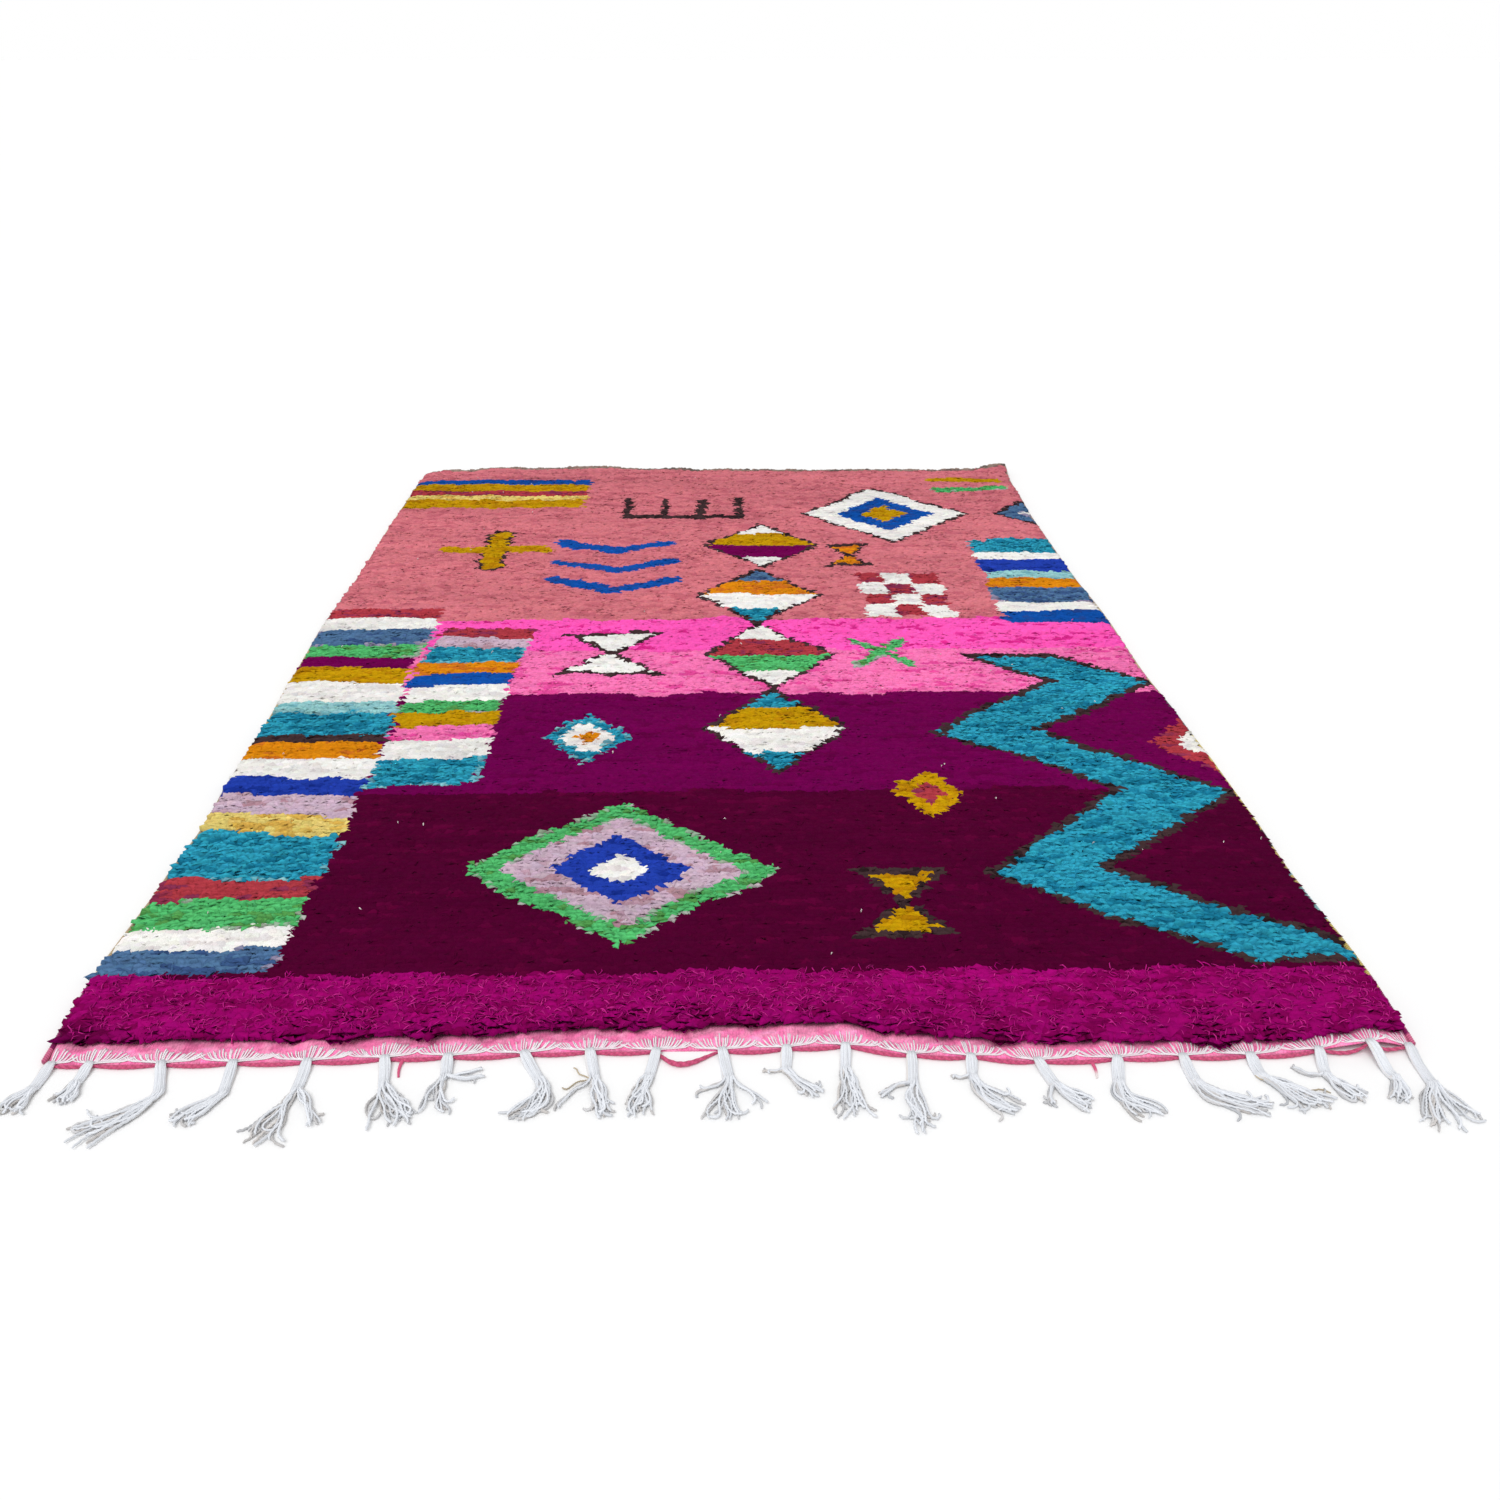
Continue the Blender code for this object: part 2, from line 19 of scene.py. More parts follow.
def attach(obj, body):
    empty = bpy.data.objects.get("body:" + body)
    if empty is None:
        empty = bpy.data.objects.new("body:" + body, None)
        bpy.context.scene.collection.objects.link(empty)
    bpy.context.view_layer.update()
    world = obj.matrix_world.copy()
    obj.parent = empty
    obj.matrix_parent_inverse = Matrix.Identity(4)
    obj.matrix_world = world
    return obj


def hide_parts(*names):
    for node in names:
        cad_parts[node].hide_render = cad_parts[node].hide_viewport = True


# The rug's outline, as the solids have it
FIELD_LENGTH = 3.03
NEAR_LINE = -FIELD_LENGTH / 2
FAR_LINE = FIELD_LENGTH / 2

# Distance from the near line, then x of the left and the right side
SIDES = (
    (-0.05, -1.021, 1.021),
    (0.16, -1.027, 1.028),
    (0.46, -1.014, 1.017),
    (0.64, -1.006, 1.021),
    (0.83, -1.013, 1.020),
    (1.06, -1.013, 1.015),
    (1.33, -1.022, 1.005),
    (1.64, -1.030, 1.009),
    (2.01, -1.022, 0.998),
    (2.46, -1.026, 0.998),
    (2.80, -1.024, 1.008),
    (3.10, -1.017, 1.020),
)

# x, then how far the pile and the flat-woven strip reach past the near line
NEAR_EDGE = (
    (-1.02, -0.009, 0.024),
    (-0.87, -0.011, 0.024),
    (-0.65, -0.013, 0.022),
    (-0.43, -0.016, 0.014),
    (-0.21, -0.030, 0.006),
    (0.00, -0.037, 0.007),
    (0.16, -0.038, -0.001),
    (0.27, -0.010, 0.021),
    (0.35, 0.003, 0.026),
    (0.44, 0.012, 0.037),
    (0.66, 0.013, 0.031),
    (0.77, 0.013, 0.030),
    (0.86, 0.011, 0.023),
    (1.03, 0.003, 0.017),
)

# x, then how far the field reaches past the far line
FAR_EDGE = (
    (-1.02, -0.008),
    (-0.90, 0.016),
    (-0.79, 0.045),
    (-0.37, 0.045),
    (-0.25, 0.026),
    (0.00, 0.013),
    (0.15, 0.004),
    (0.88, 0.000),
    (1.03, 0.008),
)

# The near right corner arches off the floor, and the far right corner curls up
ARCH_PEAK_X = 0.955
ARCH_LEFT_REACH = 0.130
ARCH_RIGHT_REACH = 0.070
ARCH_DEPTH = 0.220
ARCH_HEIGHT = 0.015
CURL_X = 0.880
CURL_Y = 1.400
CURL_REACH = 0.130
CURL_HEIGHT = 0.020

CLOTH_INSET = 0.0127
CLOTH_THICKNESS = 0.003

# Selvedges: rolls that are wound of slanting wraps
SELVEDGE_WIDTH = 0.010
SELVEDGE_HEIGHT = 0.0084
SELVEDGE_INSET = 0.007
WRAP_PITCH = 0.0042
WRAP_SLANT = 0.0022
WRAP_SIDES = 6

# Colours of each selvedge in sRGB, with the distance from the near line where each ends
SELVEDGE_DYES = {
    "left": (
        (0.03, (222, 110, 150)), (0.17, (150, 20, 100)), (0.42, (196, 172, 136)),
        (0.70, (176, 160, 128)), (1.05, (120, 100, 106)), (1.50, (196, 172, 120)),
        (1.95, (150, 128, 120)), (2.60, (206, 186, 150)), (9.00, (168, 140, 132)),
    ),
    "right": (
        (0.03, (222, 110, 150)), (0.14, (150, 20, 100)), (0.30, (212, 190, 104)),
        (0.42, (150, 200, 204)), (0.56, (210, 186, 112)), (0.62, (70, 50, 52)),
        (0.98, (222, 200, 110)), (1.20, (96, 92, 98)), (1.75, (204, 184, 140)),
        (9.00, (176, 150, 134)),
    ),
}

# Weft yarn along the near edge: its sizes where a tassel pinches it and in the swag between
YARN_PINCH = 0.004
YARN_SWAG = 0.007
YARN_SEAT = 0.0006
YARN_FULL_SWAG = 0.080
YARN_END_MARGIN = 0.0035
YARN_STEPS = 24
YARN_SIDES = 10
YARN_TWIST = 260

# How a swag hangs: how far out, which side its belly leans to, how pointed it is, and how much
# thicker its yarn gets. One hangs out as a longer loop.
Swag = namedtuple("Swag", "sag skew power bulk")
SWAG = Swag(0.004, 1.0, 0.8, 1.0)
LOOP = Swag(0.028, 0.72, 1.3, 1.3)
LOOP_NUMBER = 10

# Tassels, left to right: x of the root, the neck's lean and length, then the spray's lean, its
# full spread, its curl along its length, and its length; angles in degrees, + toward +X
Tassel = namedtuple("Tassel", "x neck_lean neck lean spread curl spray")
TASSELS = [
    Tassel(-1.001, -6, 0.052, -22, 24, -10, 0.064),
    Tassel(-0.945, -6, 0.040, 8, 16, -26, 0.050),
    Tassel(-0.842, 17, 0.062, -30, 14, -32, 0.154),
    Tassel(-0.736, 4, 0.066, -40, 36, -6, 0.092),
    Tassel(-0.628, 0, 0.060, -14, 22, 0, 0.130),
    Tassel(-0.516, 10, 0.054, 18, 36, 12, 0.112),
    Tassel(-0.423, 4, 0.044, -8, 34, 46, 0.092),
    Tassel(-0.313, 27, 0.064, 30, 12, -110, 0.112),
    Tassel(-0.215, 11, 0.058, 2, 24, 10, 0.100),
    Tassel(-0.115, -10, 0.058, -20, 18, 24, 0.094),
    Tassel(-0.019, 9, 0.062, -3, 50, -4, 0.104),
    Tassel(0.078, -4, 0.049, 40, 22, -4, 0.084),
    Tassel(0.166, -5, 0.051, 10, 18, -16, 0.118),
    Tassel(0.262, -6, 0.060, -26, 32, 50, 0.118),
    Tassel(0.349, -6, 0.044, 16, 20, 50, 0.110),
    Tassel(0.445, 15, 0.054, 25, 34, 32, 0.077),
    Tassel(0.565, -12, 0.051, -10, 24, 76, 0.102),
    Tassel(0.662, 2, 0.053, 24, 14, 66, 0.132),
    Tassel(0.762, 1, 0.042, 42, 14, 8, 0.124),
    Tassel(0.867, -10, 0.052, 18, 22, 30, 0.078),
    Tassel(0.941, 12, 0.062, -8, 20, -12, 0.062),
    Tassel(1.003, 0, 0.076, -14, 30, -4, 0.114),
]
ROOTS = [tassel.x for tassel in TASSELS]

# Strands that run their own way, from the first to the last of six, with their lean, curl and
# length
Branch = namedtuple("Branch", "tassel first last lean curl spray")
BRANCHES = (
    Branch(5, 5, 6, 48, -70, 0.100),
    Branch(7, 5, 6, 74, 24, 0.064),
    Branch(9, 1, 1, -22, 0, 0.102),
    Branch(11, 1, 1, -32, 0, 0.072),
    Branch(11, 6, 6, 50, -66, 0.100),
    Branch(12, 1, 1, -66, -20, 0.040),
    Branch(14, 1, 2, -62, 36, 0.070),
    Branch(15, 1, 1, -70, -40, 0.036),
    Branch(16, 1, 2, -8, 0, 0.056),
    Branch(20, 1, 1, -84, -40, 0.062),
    Branch(22, 6, 6, 5, 12, 0.118),
)

# Loose ends of the weft yarn: the swag each hangs from, its share along it, its length, how far
# it bends aside, and the colour of its tip
LooseEnd = namedtuple("LooseEnd", "swag share length bend tip")
YARN_COLOUR = (214, 90, 130)
LOOSE_ENDS = (
    LooseEnd(6, 0.30, 0.038, -0.0025, YARN_COLOUR),
    LooseEnd(16, 0.66, 0.036, 0.0025, (238, 226, 226)),
)
END_STATIONS = 10
END_SIDES = 8

# Warp ends that fan over the strip: for each station, its share of the way from the end's place
# to the tassel's root, its distance from the strip's edge as a share of the fan's depth and as a
# length, and its height over the cloth
FAN_PITCH = 0.0039
FAN_SIZE = 0.0031
FAN_SIDES = 3
FAN_SIDE_INSET = 0.018
FAN_STATIONS = (
    (-0.15, 1.00, 0.0, -0.0010),
    (-0.09, 0.80, 0.0, 0.0009),
    (0.00, 0.50, 0.0, 0.0012),
    (0.14, 0.24, 0.0, 0.0011),
    (0.44, 0.0, 0.0024, 0.0012),
    (0.80, 0.0, 0.0008, 0.0022),
    (0.94, 0.0, -0.0040, 0.0046),
)

# Yarns of a tassel, and their stations along its neck and along its spray
YARNS = 20
COTTON_SIZE = 0.0040
COTTON_SIDES = 4
NECK_STATIONS = 7
SPRAY_STATIONS = 26
STRANDS = 6
STRAND_SIDE_CUT = 0.12
STRAND_SPREAD = 0.52
FLOOR_CLEARANCE = 0.0001

# A tassel's neck at its root, past the weft yarn that it bridges, where it has come down to the
# floor, and at its end: its width and height, and how far along the middle two lie. One that
# comes down from the arch takes longer.
NECK_WIDTHS = np.array([0.014, 0.020, 0.020, 0.020])
NECK_HEIGHTS = np.array([0.005, 0.005, 0.008, 0.008])
NECK_BRIDGE = 0.014
NECK_LANDING = 0.028
NECK_LANDING_PER_HANG = 1.5

# Single cream threads that lie among the yarns, as branches of no strand
LOOSE_THREADS = (
    Branch(9, 0, 0, -58, 70, 0.070),
    Branch(9, 0, 0, -84, -90, 0.052),
    Branch(19, 0, 0, 30, 150, 0.135),
)
THREAD_SIZE = 0.0021

# Dyes: colour in sRGB, the tone that it is streaked with, how much of it is streaked, and how
# much painted shade darkens its locks' roots and painted highlight lightens their tips, which
# also sets how deep its creases are
Dye = namedtuple("Dye", "colour second share crease")
DYES = {
    "magenta": Dye((153, 6, 104), (122, 2, 75), 0.30, 0.17),
    "dark plum": Dye((76, 1, 43), (90, 2, 50), 0.12, 0.03),
    "plum": Dye((106, 1, 74), (94, 0, 62), 0.14, 0.05),
    "hot pink": Dye((240, 116, 176), (216, 62, 144), 0.18, 0.20),
    "salmon": Dye((209, 117, 127), (188, 96, 110), 0.26, 0.13),
    "turquoise": Dye((46, 156, 184), (22, 116, 148), 0.34, 0.50),
    "white": Dye((233, 231, 227), (215, 210, 209), 0.22, 0.03),
    "cobalt": Dye((15, 78, 164), (36, 66, 136), 0.20, 0.14),
    "royal": Dye((34, 62, 168), (20, 44, 134), 0.20, 0.14),
    "slate": Dye((78, 112, 150), (52, 78, 124), 0.28, 0.26),
    "mustard": Dye((192, 147, 8), (174, 120, 8), 0.30, 0.20),
    "orange": Dye((214, 132, 16), (194, 102, 34), 0.30, 0.20),
    "green": Dye((82, 182, 108), (80, 140, 68), 0.20, 0.44),
    "brick": Dye((172, 58, 68), (128, 46, 82), 0.26, 0.22),
    "lilac": Dye((198, 172, 190), (168, 124, 136), 0.16, 0.18),
    "straw": Dye((224, 202, 116), (212, 166, 70), 0.34, 0.26),
    "aqua": Dye((150, 202, 204), (112, 172, 184), 0.30, 0.22),
    "brown": Dye((66, 48, 50), (40, 26, 30), 0.20, 0.20),
    "edge brown": Dye((150, 128, 118), (104, 92, 88), 0.30, 0.24),
    "vivid pink": Dye((252, 88, 184), (206, 20, 126), 0.12, 0.14),
}
DYE_NAMES = tuple(DYES)

# Other colours in sRGB: what curls in the near band and the strip fade to, and lint, cotton and
# the dark magenta of the cloth under the pile, partly its roots' colour and partly painted shade
PALE_CURL = (220, 58, 158)
LINT_COLOUR = (235, 225, 222)
STRIP_PINK = (248, 121, 175)
STRIP_FROST = (250, 216, 230)
UNDER_PILE_SHADE = (118, 4, 80)
FAN_WHITE = (252, 249, 252)
FAN_ROSE = (242, 168, 204)
COTTON_WHITE = (240, 243, 249)
THREAD_CREAM = (226, 208, 178)

# Dyes that are mixed with a paler wool where they meet the ground
PALE_EDGES = {"green": "lilac", "turquoise": "aqua", "slate": "lilac"}

# Ground colours, from the near end: the dye and where it ends. The signs start a little before
# the first one's end, and stop where the last but one ends.
GROUND = (
    ("magenta", 0.170),
    ("dark plum", 0.750),
    ("plum", 1.200),
    ("hot pink", 1.450),
    ("vivid pink", 1.650),
    ("salmon", 3.012),
    ("edge brown", 9.9),
)
SIGNS_START = 0.165
SIGNS_END = GROUND[-2][1]

# Pile: pitch of the knots, how far a lock leans to the near end, its widths at the root and at
# its bend, where it bends, and how far over the cloth's underside it starts. Its rings of points
# have three corners, given as parts across and along it.
ROW_PITCH = 0.0108
KNOT_PITCH = 0.0079
LOCK_LEAN = 0.0086
LOCK_ROOT = (0.0125, 0.0115)
LOCK_MIDDLE = (0.0160, 0.0104)
LOCK_BEND = (0.45, 0.84)
LOCK_TIP_DROOP = 0.0010
LOCK_FOOT = 0.002
CORNERS = [(math.cos(turn), math.sin(turn)) for turn in map(math.radians, (90, 210, 330))]
PILE_WIDTH = 2.04
PILE_PIECES = 5
LOCKS_PER_CELL = 2

# Share of the pile's height that the roots fill: in a dye without creases, in one with the
# deepest, and in the rows that hang over the strip, whose locks are fuller
FILLED = (0.86, 0.44)
DEEPEST_CREASE = 0.50
HANGING_FILLED = 0.84
HANGING_FULLER = 0.40
BED_DROP = 0.0012
ROOT_SPREAD = 2.6

# Insets of the pile's rows from the cloth's edges, how far in they follow the near and the far
# edge, and the distances within which rows hang, lie over the strip, and lean over the far edge
PILE_SIDE_INSET = 0.0145
PILE_NEAR_INSET = 0.011
PILE_FAR_INSET = 0.012
NEAR_FADE = 0.16
FAR_FADE = 0.25
HANGING_REACH = 0.110
OVER_STRIP_REACH = 0.026
FAR_LEAN_REACH = 0.030
RIM_REACH = 0.030

# Loose ends that curl over the pile, and lint
CURLS_IN_BAND = 2300
CURLS_ELSEWHERE = 500
LINT = 60
LINT_LENGTH = 0.3
CURL_SIZE = 0.0022
CURL_SHADES = (0.7, 0.9, 1.0, 1.1)
CURL_CLEARANCE = 0.0002
CURL_SIDES = 3

# The ground cloth's columns, its rows and the distances from its near edge where they change,
# and its rows under the far edge
CLOTH_COLUMNS = 340
CLOTH_STOPS = (0.0, 0.062, 0.26, CURL_Y - NEAR_LINE)
CLOTH_ROWS = (20, 6, 10)
CURL_ROWS = 6

# Half the floor's side
FLOOR_REACH = 200

# Random values along each side of the table behind a ripple
LATTICE = 512

random = np.random.default_rng(1731)


def joined(*values):
    """Values side by side, along a new last axis."""
    return np.stack(np.broadcast_arrays(*values), axis=-1)


def linear(colour):
    """Linear light of an sRGB colour of 0 to 255."""
    share = np.asarray(colour, float) / 255
    return np.where(share <= 0.04045, share / 12.92, ((share + 0.055) / 1.055) ** 2.4)


def mix(low, high, share):
    return low + (high - low) * share


def ease(share):
    share = np.clip(share, 0.0, 1.0)
    return share * share * (3 - 2 * share)


def read(table, column, at):
    """The table's column at places along its first column, eased between its rows."""
    rows = np.array(table)
    at = np.asarray(at, float)
    place = np.clip(np.searchsorted(rows[:, 0], at) - 1, 0, len(rows) - 2)
    low, high = rows[place], rows[place + 1]
    share = ease((at - low[..., 0]) / (high[..., 0] - low[..., 0]))
    return mix(low[..., column], high[..., column], share)


def left_x(y):
    return read(SIDES, 1, y - NEAR_LINE)


def right_x(y):
    return read(SIDES, 2, y - NEAR_LINE)


def pile_y(x):
    return NEAR_LINE - read(NEAR_EDGE, 1, x)


def strip_y(x):
    return NEAR_LINE - read(NEAR_EDGE, 2, x)


def far_y(x):
    return FAR_LINE + read(FAR_EDGE, 1, x)


def lift(x, y):
    """Height of the cloth's underside over the floor."""
    reach = np.where(x < ARCH_PEAK_X, ARCH_LEFT_REACH, ARCH_RIGHT_REACH)
    across = 1 - ease(np.abs(x - ARCH_PEAK_X) / reach)
    along = 1 - ease((y - NEAR_LINE) / ARCH_DEPTH)
    curl = ease((x - CURL_X) / CURL_REACH) * ease((y - CURL_Y) / CURL_REACH)
    return ARCH_HEIGHT * across * along + CURL_HEIGHT * curl


def ripple(x, y, size_x, size_y, seed):
    """Smooth random values from -1 to 1, with features of the two sizes."""
    lattice = np.random.default_rng(seed).uniform(-1, 1, (LATTICE, LATTICE))
    across, along = np.asarray(x) / size_x + 200, np.asarray(y) / size_y + 200
    column, row = np.floor(across).astype(int), np.floor(along).astype(int)
    this, after = column % LATTICE, (column + 1) % LATTICE
    u, w = ease(across - column), ease(along - row)
    low, high = (
        mix(lattice[at % LATTICE, this], lattice[at % LATTICE, after], u) for at in (row, row + 1)
    )
    return mix(low, high, w)


def from_root(x):
    """Distance across the rug to the next tassel's root."""
    return np.abs(np.asarray(x)[..., None] - np.array(ROOTS)).min(axis=-1)


# Signs of the chart. Each takes the knots' places, and yields in turn which of them lie in a part
# of the sign, and that part's dye.


def dye(name):
    return DYE_NAMES.index(name)


def bars(x, v, left, right, start, stripes, slant=0.0):
    """A ladder of bars, one over another, each with its dye and height."""
    shift = slant * (v - start)
    inside = (x > left + shift) & (x < right + shift)
    for name, height in stripes:
        yield inside & (v >= start) & (v < start + height), name
        start += height


def reach_of(x, v, centre, half):
    """Places across a lozenge: 0 at its centre and 1 at its outline."""
    return np.abs(x - centre[0]) / half[0] + np.abs(v - centre[1]) / half[1]


def lozenge(x, v, centre, half, rings):
    """A lozenge of nested rings, each with its share of the whole and its dye."""
    reach = reach_of(x, v, centre, half)
    for share, name in rings:
        yield reach < share, name


def banded_lozenge(x, v, centre, half, outline, stripes):
    """A lozenge with an outline, filled with bars of equal height."""
    reach = reach_of(x, v, centre, half)
    yield reach < 1, outline
    place = ((v - centre[1]) / half[1] + 1) / 2 * len(stripes)
    bar = np.clip(place.astype(int), 0, len(stripes) - 1)
    for number, name in enumerate(stripes):
        yield (reach < 1 - 0.016 / half[0]) & (bar == number), name


def stroke(x, v, points, width, name, outline=None, border=0.013):
    """A broad line through points, with an outline where one is named."""
    nearest = np.full(x.shape, 9.0)
    for (x0, v0), (x1, v1) in zip(points, points[1:]):
        run = (x1 - x0) ** 2 + (v1 - v0) ** 2
        share = np.clip(((x - x0) * (x1 - x0) + (v - v0) * (v1 - v0)) / run, 0, 1)
        away = np.hypot(x - mix(x0, x1, share), v - mix(v0, v1, share))
        nearest = np.minimum(nearest, away)
    if outline:
        yield nearest < width / 2 + border, outline
    yield nearest < width / 2, name


def zigzag(x, v, points, width, name, outline, border=0.016):
    """A broad line that runs up the rug and turns to and fro, cut level at its ends."""
    across, along = np.array(points).T
    away = np.abs(x - np.interp(v, along, across))
    rim = (v > along[0] - border) & (v < along[-1] + border)
    yield rim & (away < width / 2 + border * 1.6), outline
    yield (v > along[0]) & (v < along[-1]) & (away < width / 2), name


def checks(x, v, left, right, start, end, across, along, names):
    """A block of checks in turn."""
    column = np.floor((x - left) / (right - left) * across).astype(int)
    row = np.floor((v - start) / (end - start) * along).astype(int)
    inside = (column >= 0) & (column < across) & (row >= 0) & (row < along)
    for number, name in enumerate(names):
        yield inside & ((column + row) % len(names) == number), name


def hourglass(x, v, centre, half, name, outline):
    """Two triangles that meet at their tips."""
    up = np.abs(v - centre[1]) / half[1]
    away = np.abs(x - centre[0]) / half[0]
    yield (up < 1) & (away < up + 0.012 / half[0]), outline
    yield (up < 1 - 0.02 / half[1]) & (away < up - 0.05), name


def chevron(x, v):
    return (x - 0.16, v + 0.075), (x, v), (x + 0.16, v + 0.075)


LEFT_LADDER = (
    ("slate", 0.075), ("white", 0.055), ("green", 0.090), ("brick", 0.060), ("turquoise", 0.150),
    ("straw", 0.070), ("lilac", 0.080), ("royal", 0.070), ("white", 0.085), ("orange", 0.075),
    ("brown", 0.030), ("turquoise", 0.110), ("aqua", 0.050), ("white", 0.100), ("mustard", 0.090),
    ("plum", 0.060), ("green", 0.080), ("slate", 0.090), ("white", 0.070), ("brick", 0.060),
)
INNER_LADDER = (
    ("turquoise", 0.120), ("white", 0.080), ("hot pink", 0.070), ("mustard", 0.070),
    ("green", 0.060), ("white", 0.075), ("cobalt", 0.065), ("orange", 0.070),
    ("turquoise", 0.090), ("lilac", 0.060), ("brick", 0.055),
)
RIGHT_LADDER = (
    ("cobalt", 0.080), ("white", 0.060), ("slate", 0.110), ("orange", 0.070), ("aqua", 0.060),
    ("royal", 0.100), ("white", 0.055), ("turquoise", 0.120),
)
FAR_BARS = (
    ("mustard", 0.085), ("straw", 0.050), ("brick", 0.050), ("mustard", 0.070), ("cobalt", 0.040),
)
CHAIN = (
    ((0.10, 1.02), ("turquoise", "white", "mustard", "turquoise")),
    ((0.11, 1.42), ("white", "green", "brick", "white")),
    ((0.10, 1.82), ("turquoise", "white", "orange", "slate")),
    ((0.12, 2.22), ("white", "plum", "mustard", "white")),
)
CHAIN_HALF = (0.165, 0.205)
ZIGZAG = ((0.96, 0.19), (0.58, 0.45), (0.90, 0.74), (0.56, 1.00), (0.88, 1.26), (0.70, 1.40))
CHEVRONS = ((-0.30, 1.86), (-0.30, 2.02), (-0.30, 2.18))
NEAR_RINGS = ((1.0, "green"), (0.74, "lilac"), (0.46, "royal"), (0.20, "white"))
SMALL_RINGS = ((1.0, "turquoise"), (0.62, "white"), (0.30, "orange"))
FAR_RINGS = ((1.0, "brown"), (0.93, "white"), (0.58, "cobalt"), (0.28, "mustard"))
COMB_TEETH = (-0.30, -0.18, -0.06, 0.06)

# All signs in the order in which they lie over each other: what draws each, then its places in
# metres, x across the rug and v from the near line, and its dyes
SIGNS = (
    (bars, -1.10, -0.73, 0.170, LEFT_LADDER),
    (bars, -0.73, -0.50, 0.780, INNER_LADDER, 0.02),
    (zigzag, ZIGZAG, 0.200, "turquoise", "brown"),
    (lozenge, (1.03, 0.96), (0.13, 0.15), ((1.0, "brick"), (0.55, "white"))),
    (lozenge, (0.40, 0.74), (0.075, 0.095), ((1.0, "mustard"), (0.5, "brick"))),
    (hourglass, (0.30, 0.36), (0.085, 0.105), "mustard", "brown"),
    (lozenge, (-0.20, 0.47), (0.30, 0.235), NEAR_RINGS),
    *((banded_lozenge, centre, CHAIN_HALF, "brown", stripes) for centre, stripes in CHAIN),
    (lozenge, (-0.29, 0.98), (0.10, 0.12), SMALL_RINGS),
    (checks, 0.38, 0.62, 1.66, 1.98, 3, 4, ("white", "brick")),
    (stroke, ((0.33, 1.36), (0.45, 1.50)), 0.034, "green"),
    (stroke, ((0.33, 1.50), (0.45, 1.36)), 0.034, "green"),
    (lozenge, (1.03, 2.51), (0.17, 0.17), ((1.0, "brown"), (0.88, "slate"), (0.46, "white"))),
    (hourglass, (0.37, 2.14), (0.060, 0.095), "orange", "brown"),
    (stroke, ((0.74, 2.78), (0.96, 2.78)), 0.045, "green"),
    (stroke, ((0.74, 2.88), (0.96, 2.88)), 0.045, "mustard"),
    (bars, 0.74, 1.10, 1.62, RIGHT_LADDER),
    (hourglass, (-0.27, 1.43), (0.12, 0.13), "white", "brown"),
    *((stroke, chevron(*tip), 0.048, "cobalt") for tip in CHEVRONS),
    (lozenge, (0.52, 2.52), (0.27, 0.28), FAR_RINGS),
    (stroke, ((-0.66, 2.06), (-0.66, 2.34)), 0.055, "mustard", "brown"),
    (stroke, ((-0.80, 2.20), (-0.52, 2.20)), 0.055, "mustard"),
    (stroke, ((-0.30, 2.50), (0.06, 2.50)), 0.038, "brown"),
    *((stroke, ((tooth, 2.50), (tooth, 2.68)), 0.030, "brown") for tooth in COMB_TEETH),
    (bars, -1.10, -0.44, 2.600, FAR_BARS),
)


def drawn_by_hand(x, v):
    """The signs' places bent a little, as they come out when no two rows are alike."""
    bent_x = x + 0.014 * ripple(x, v, 0.30, 0.22, 33) + 0.006 * ripple(x, v, 0.10, 0.08, 34)
    bent_v = v + 0.012 * ripple(x, v, 0.24, 0.30, 35) + 0.005 * ripple(x, v, 0.09, 0.12, 36)
    return bent_x, bent_v


def charted(x, v):
    """The dye of each knot: ground bands, then the signs over them."""
    found = np.zeros(x.shape, int)
    start = -9.0
    wave = 0.006 * ripple(x, v, 0.16, 9.0, 31)
    for name, end in GROUND:
        found[(v + wave >= start) & (v + wave < end)] = dye(name)
        start = end
    on_field = (v > SIGNS_START) & (v < SIGNS_END)
    bent = drawn_by_hand(x, v)
    for draw, *shape in SIGNS:
        for inside, name in draw(*bent, *shape):
            found[inside & on_field] = dye(name)
    return found


def knot_dyes(x, v):
    """The chart with its edges stepped row by row and toothed knot by knot."""
    row = np.round(v / ROW_PITCH)
    step = ripple(x, row, 0.35, 1.0, 41)
    tooth = random.uniform(-1, 1, x.shape)
    wander = ripple(x, v, 0.05, 0.4, 42)
    return charted(x + 0.008 * step + 0.0025 * tooth, v + 0.0045 * wander)


def band_light(x, v):
    """Painted light and shade of the long end band: a painted shadow at its left corner, paler at
    its upper right.
    """
    inside = ease((GROUND[0][1] - v) / 0.004)
    corner = ease((-0.90 - x) / 0.08) * ease((0.060 - v) / 0.03)
    pale = ease((v - 0.04) / 0.08) * ease(1 - np.abs(x - 0.45) / 0.55)
    low = ease((0.05 - v) / 0.05)
    return 1 + inside * (0.16 * pale - 0.14 * low - 0.42 * corner)


def of_dyes(tone, index):
    """Linear light of a tone of each knot's dye."""
    return np.array([linear(getattr(each, tone)) for each in DYES.values()])[index]


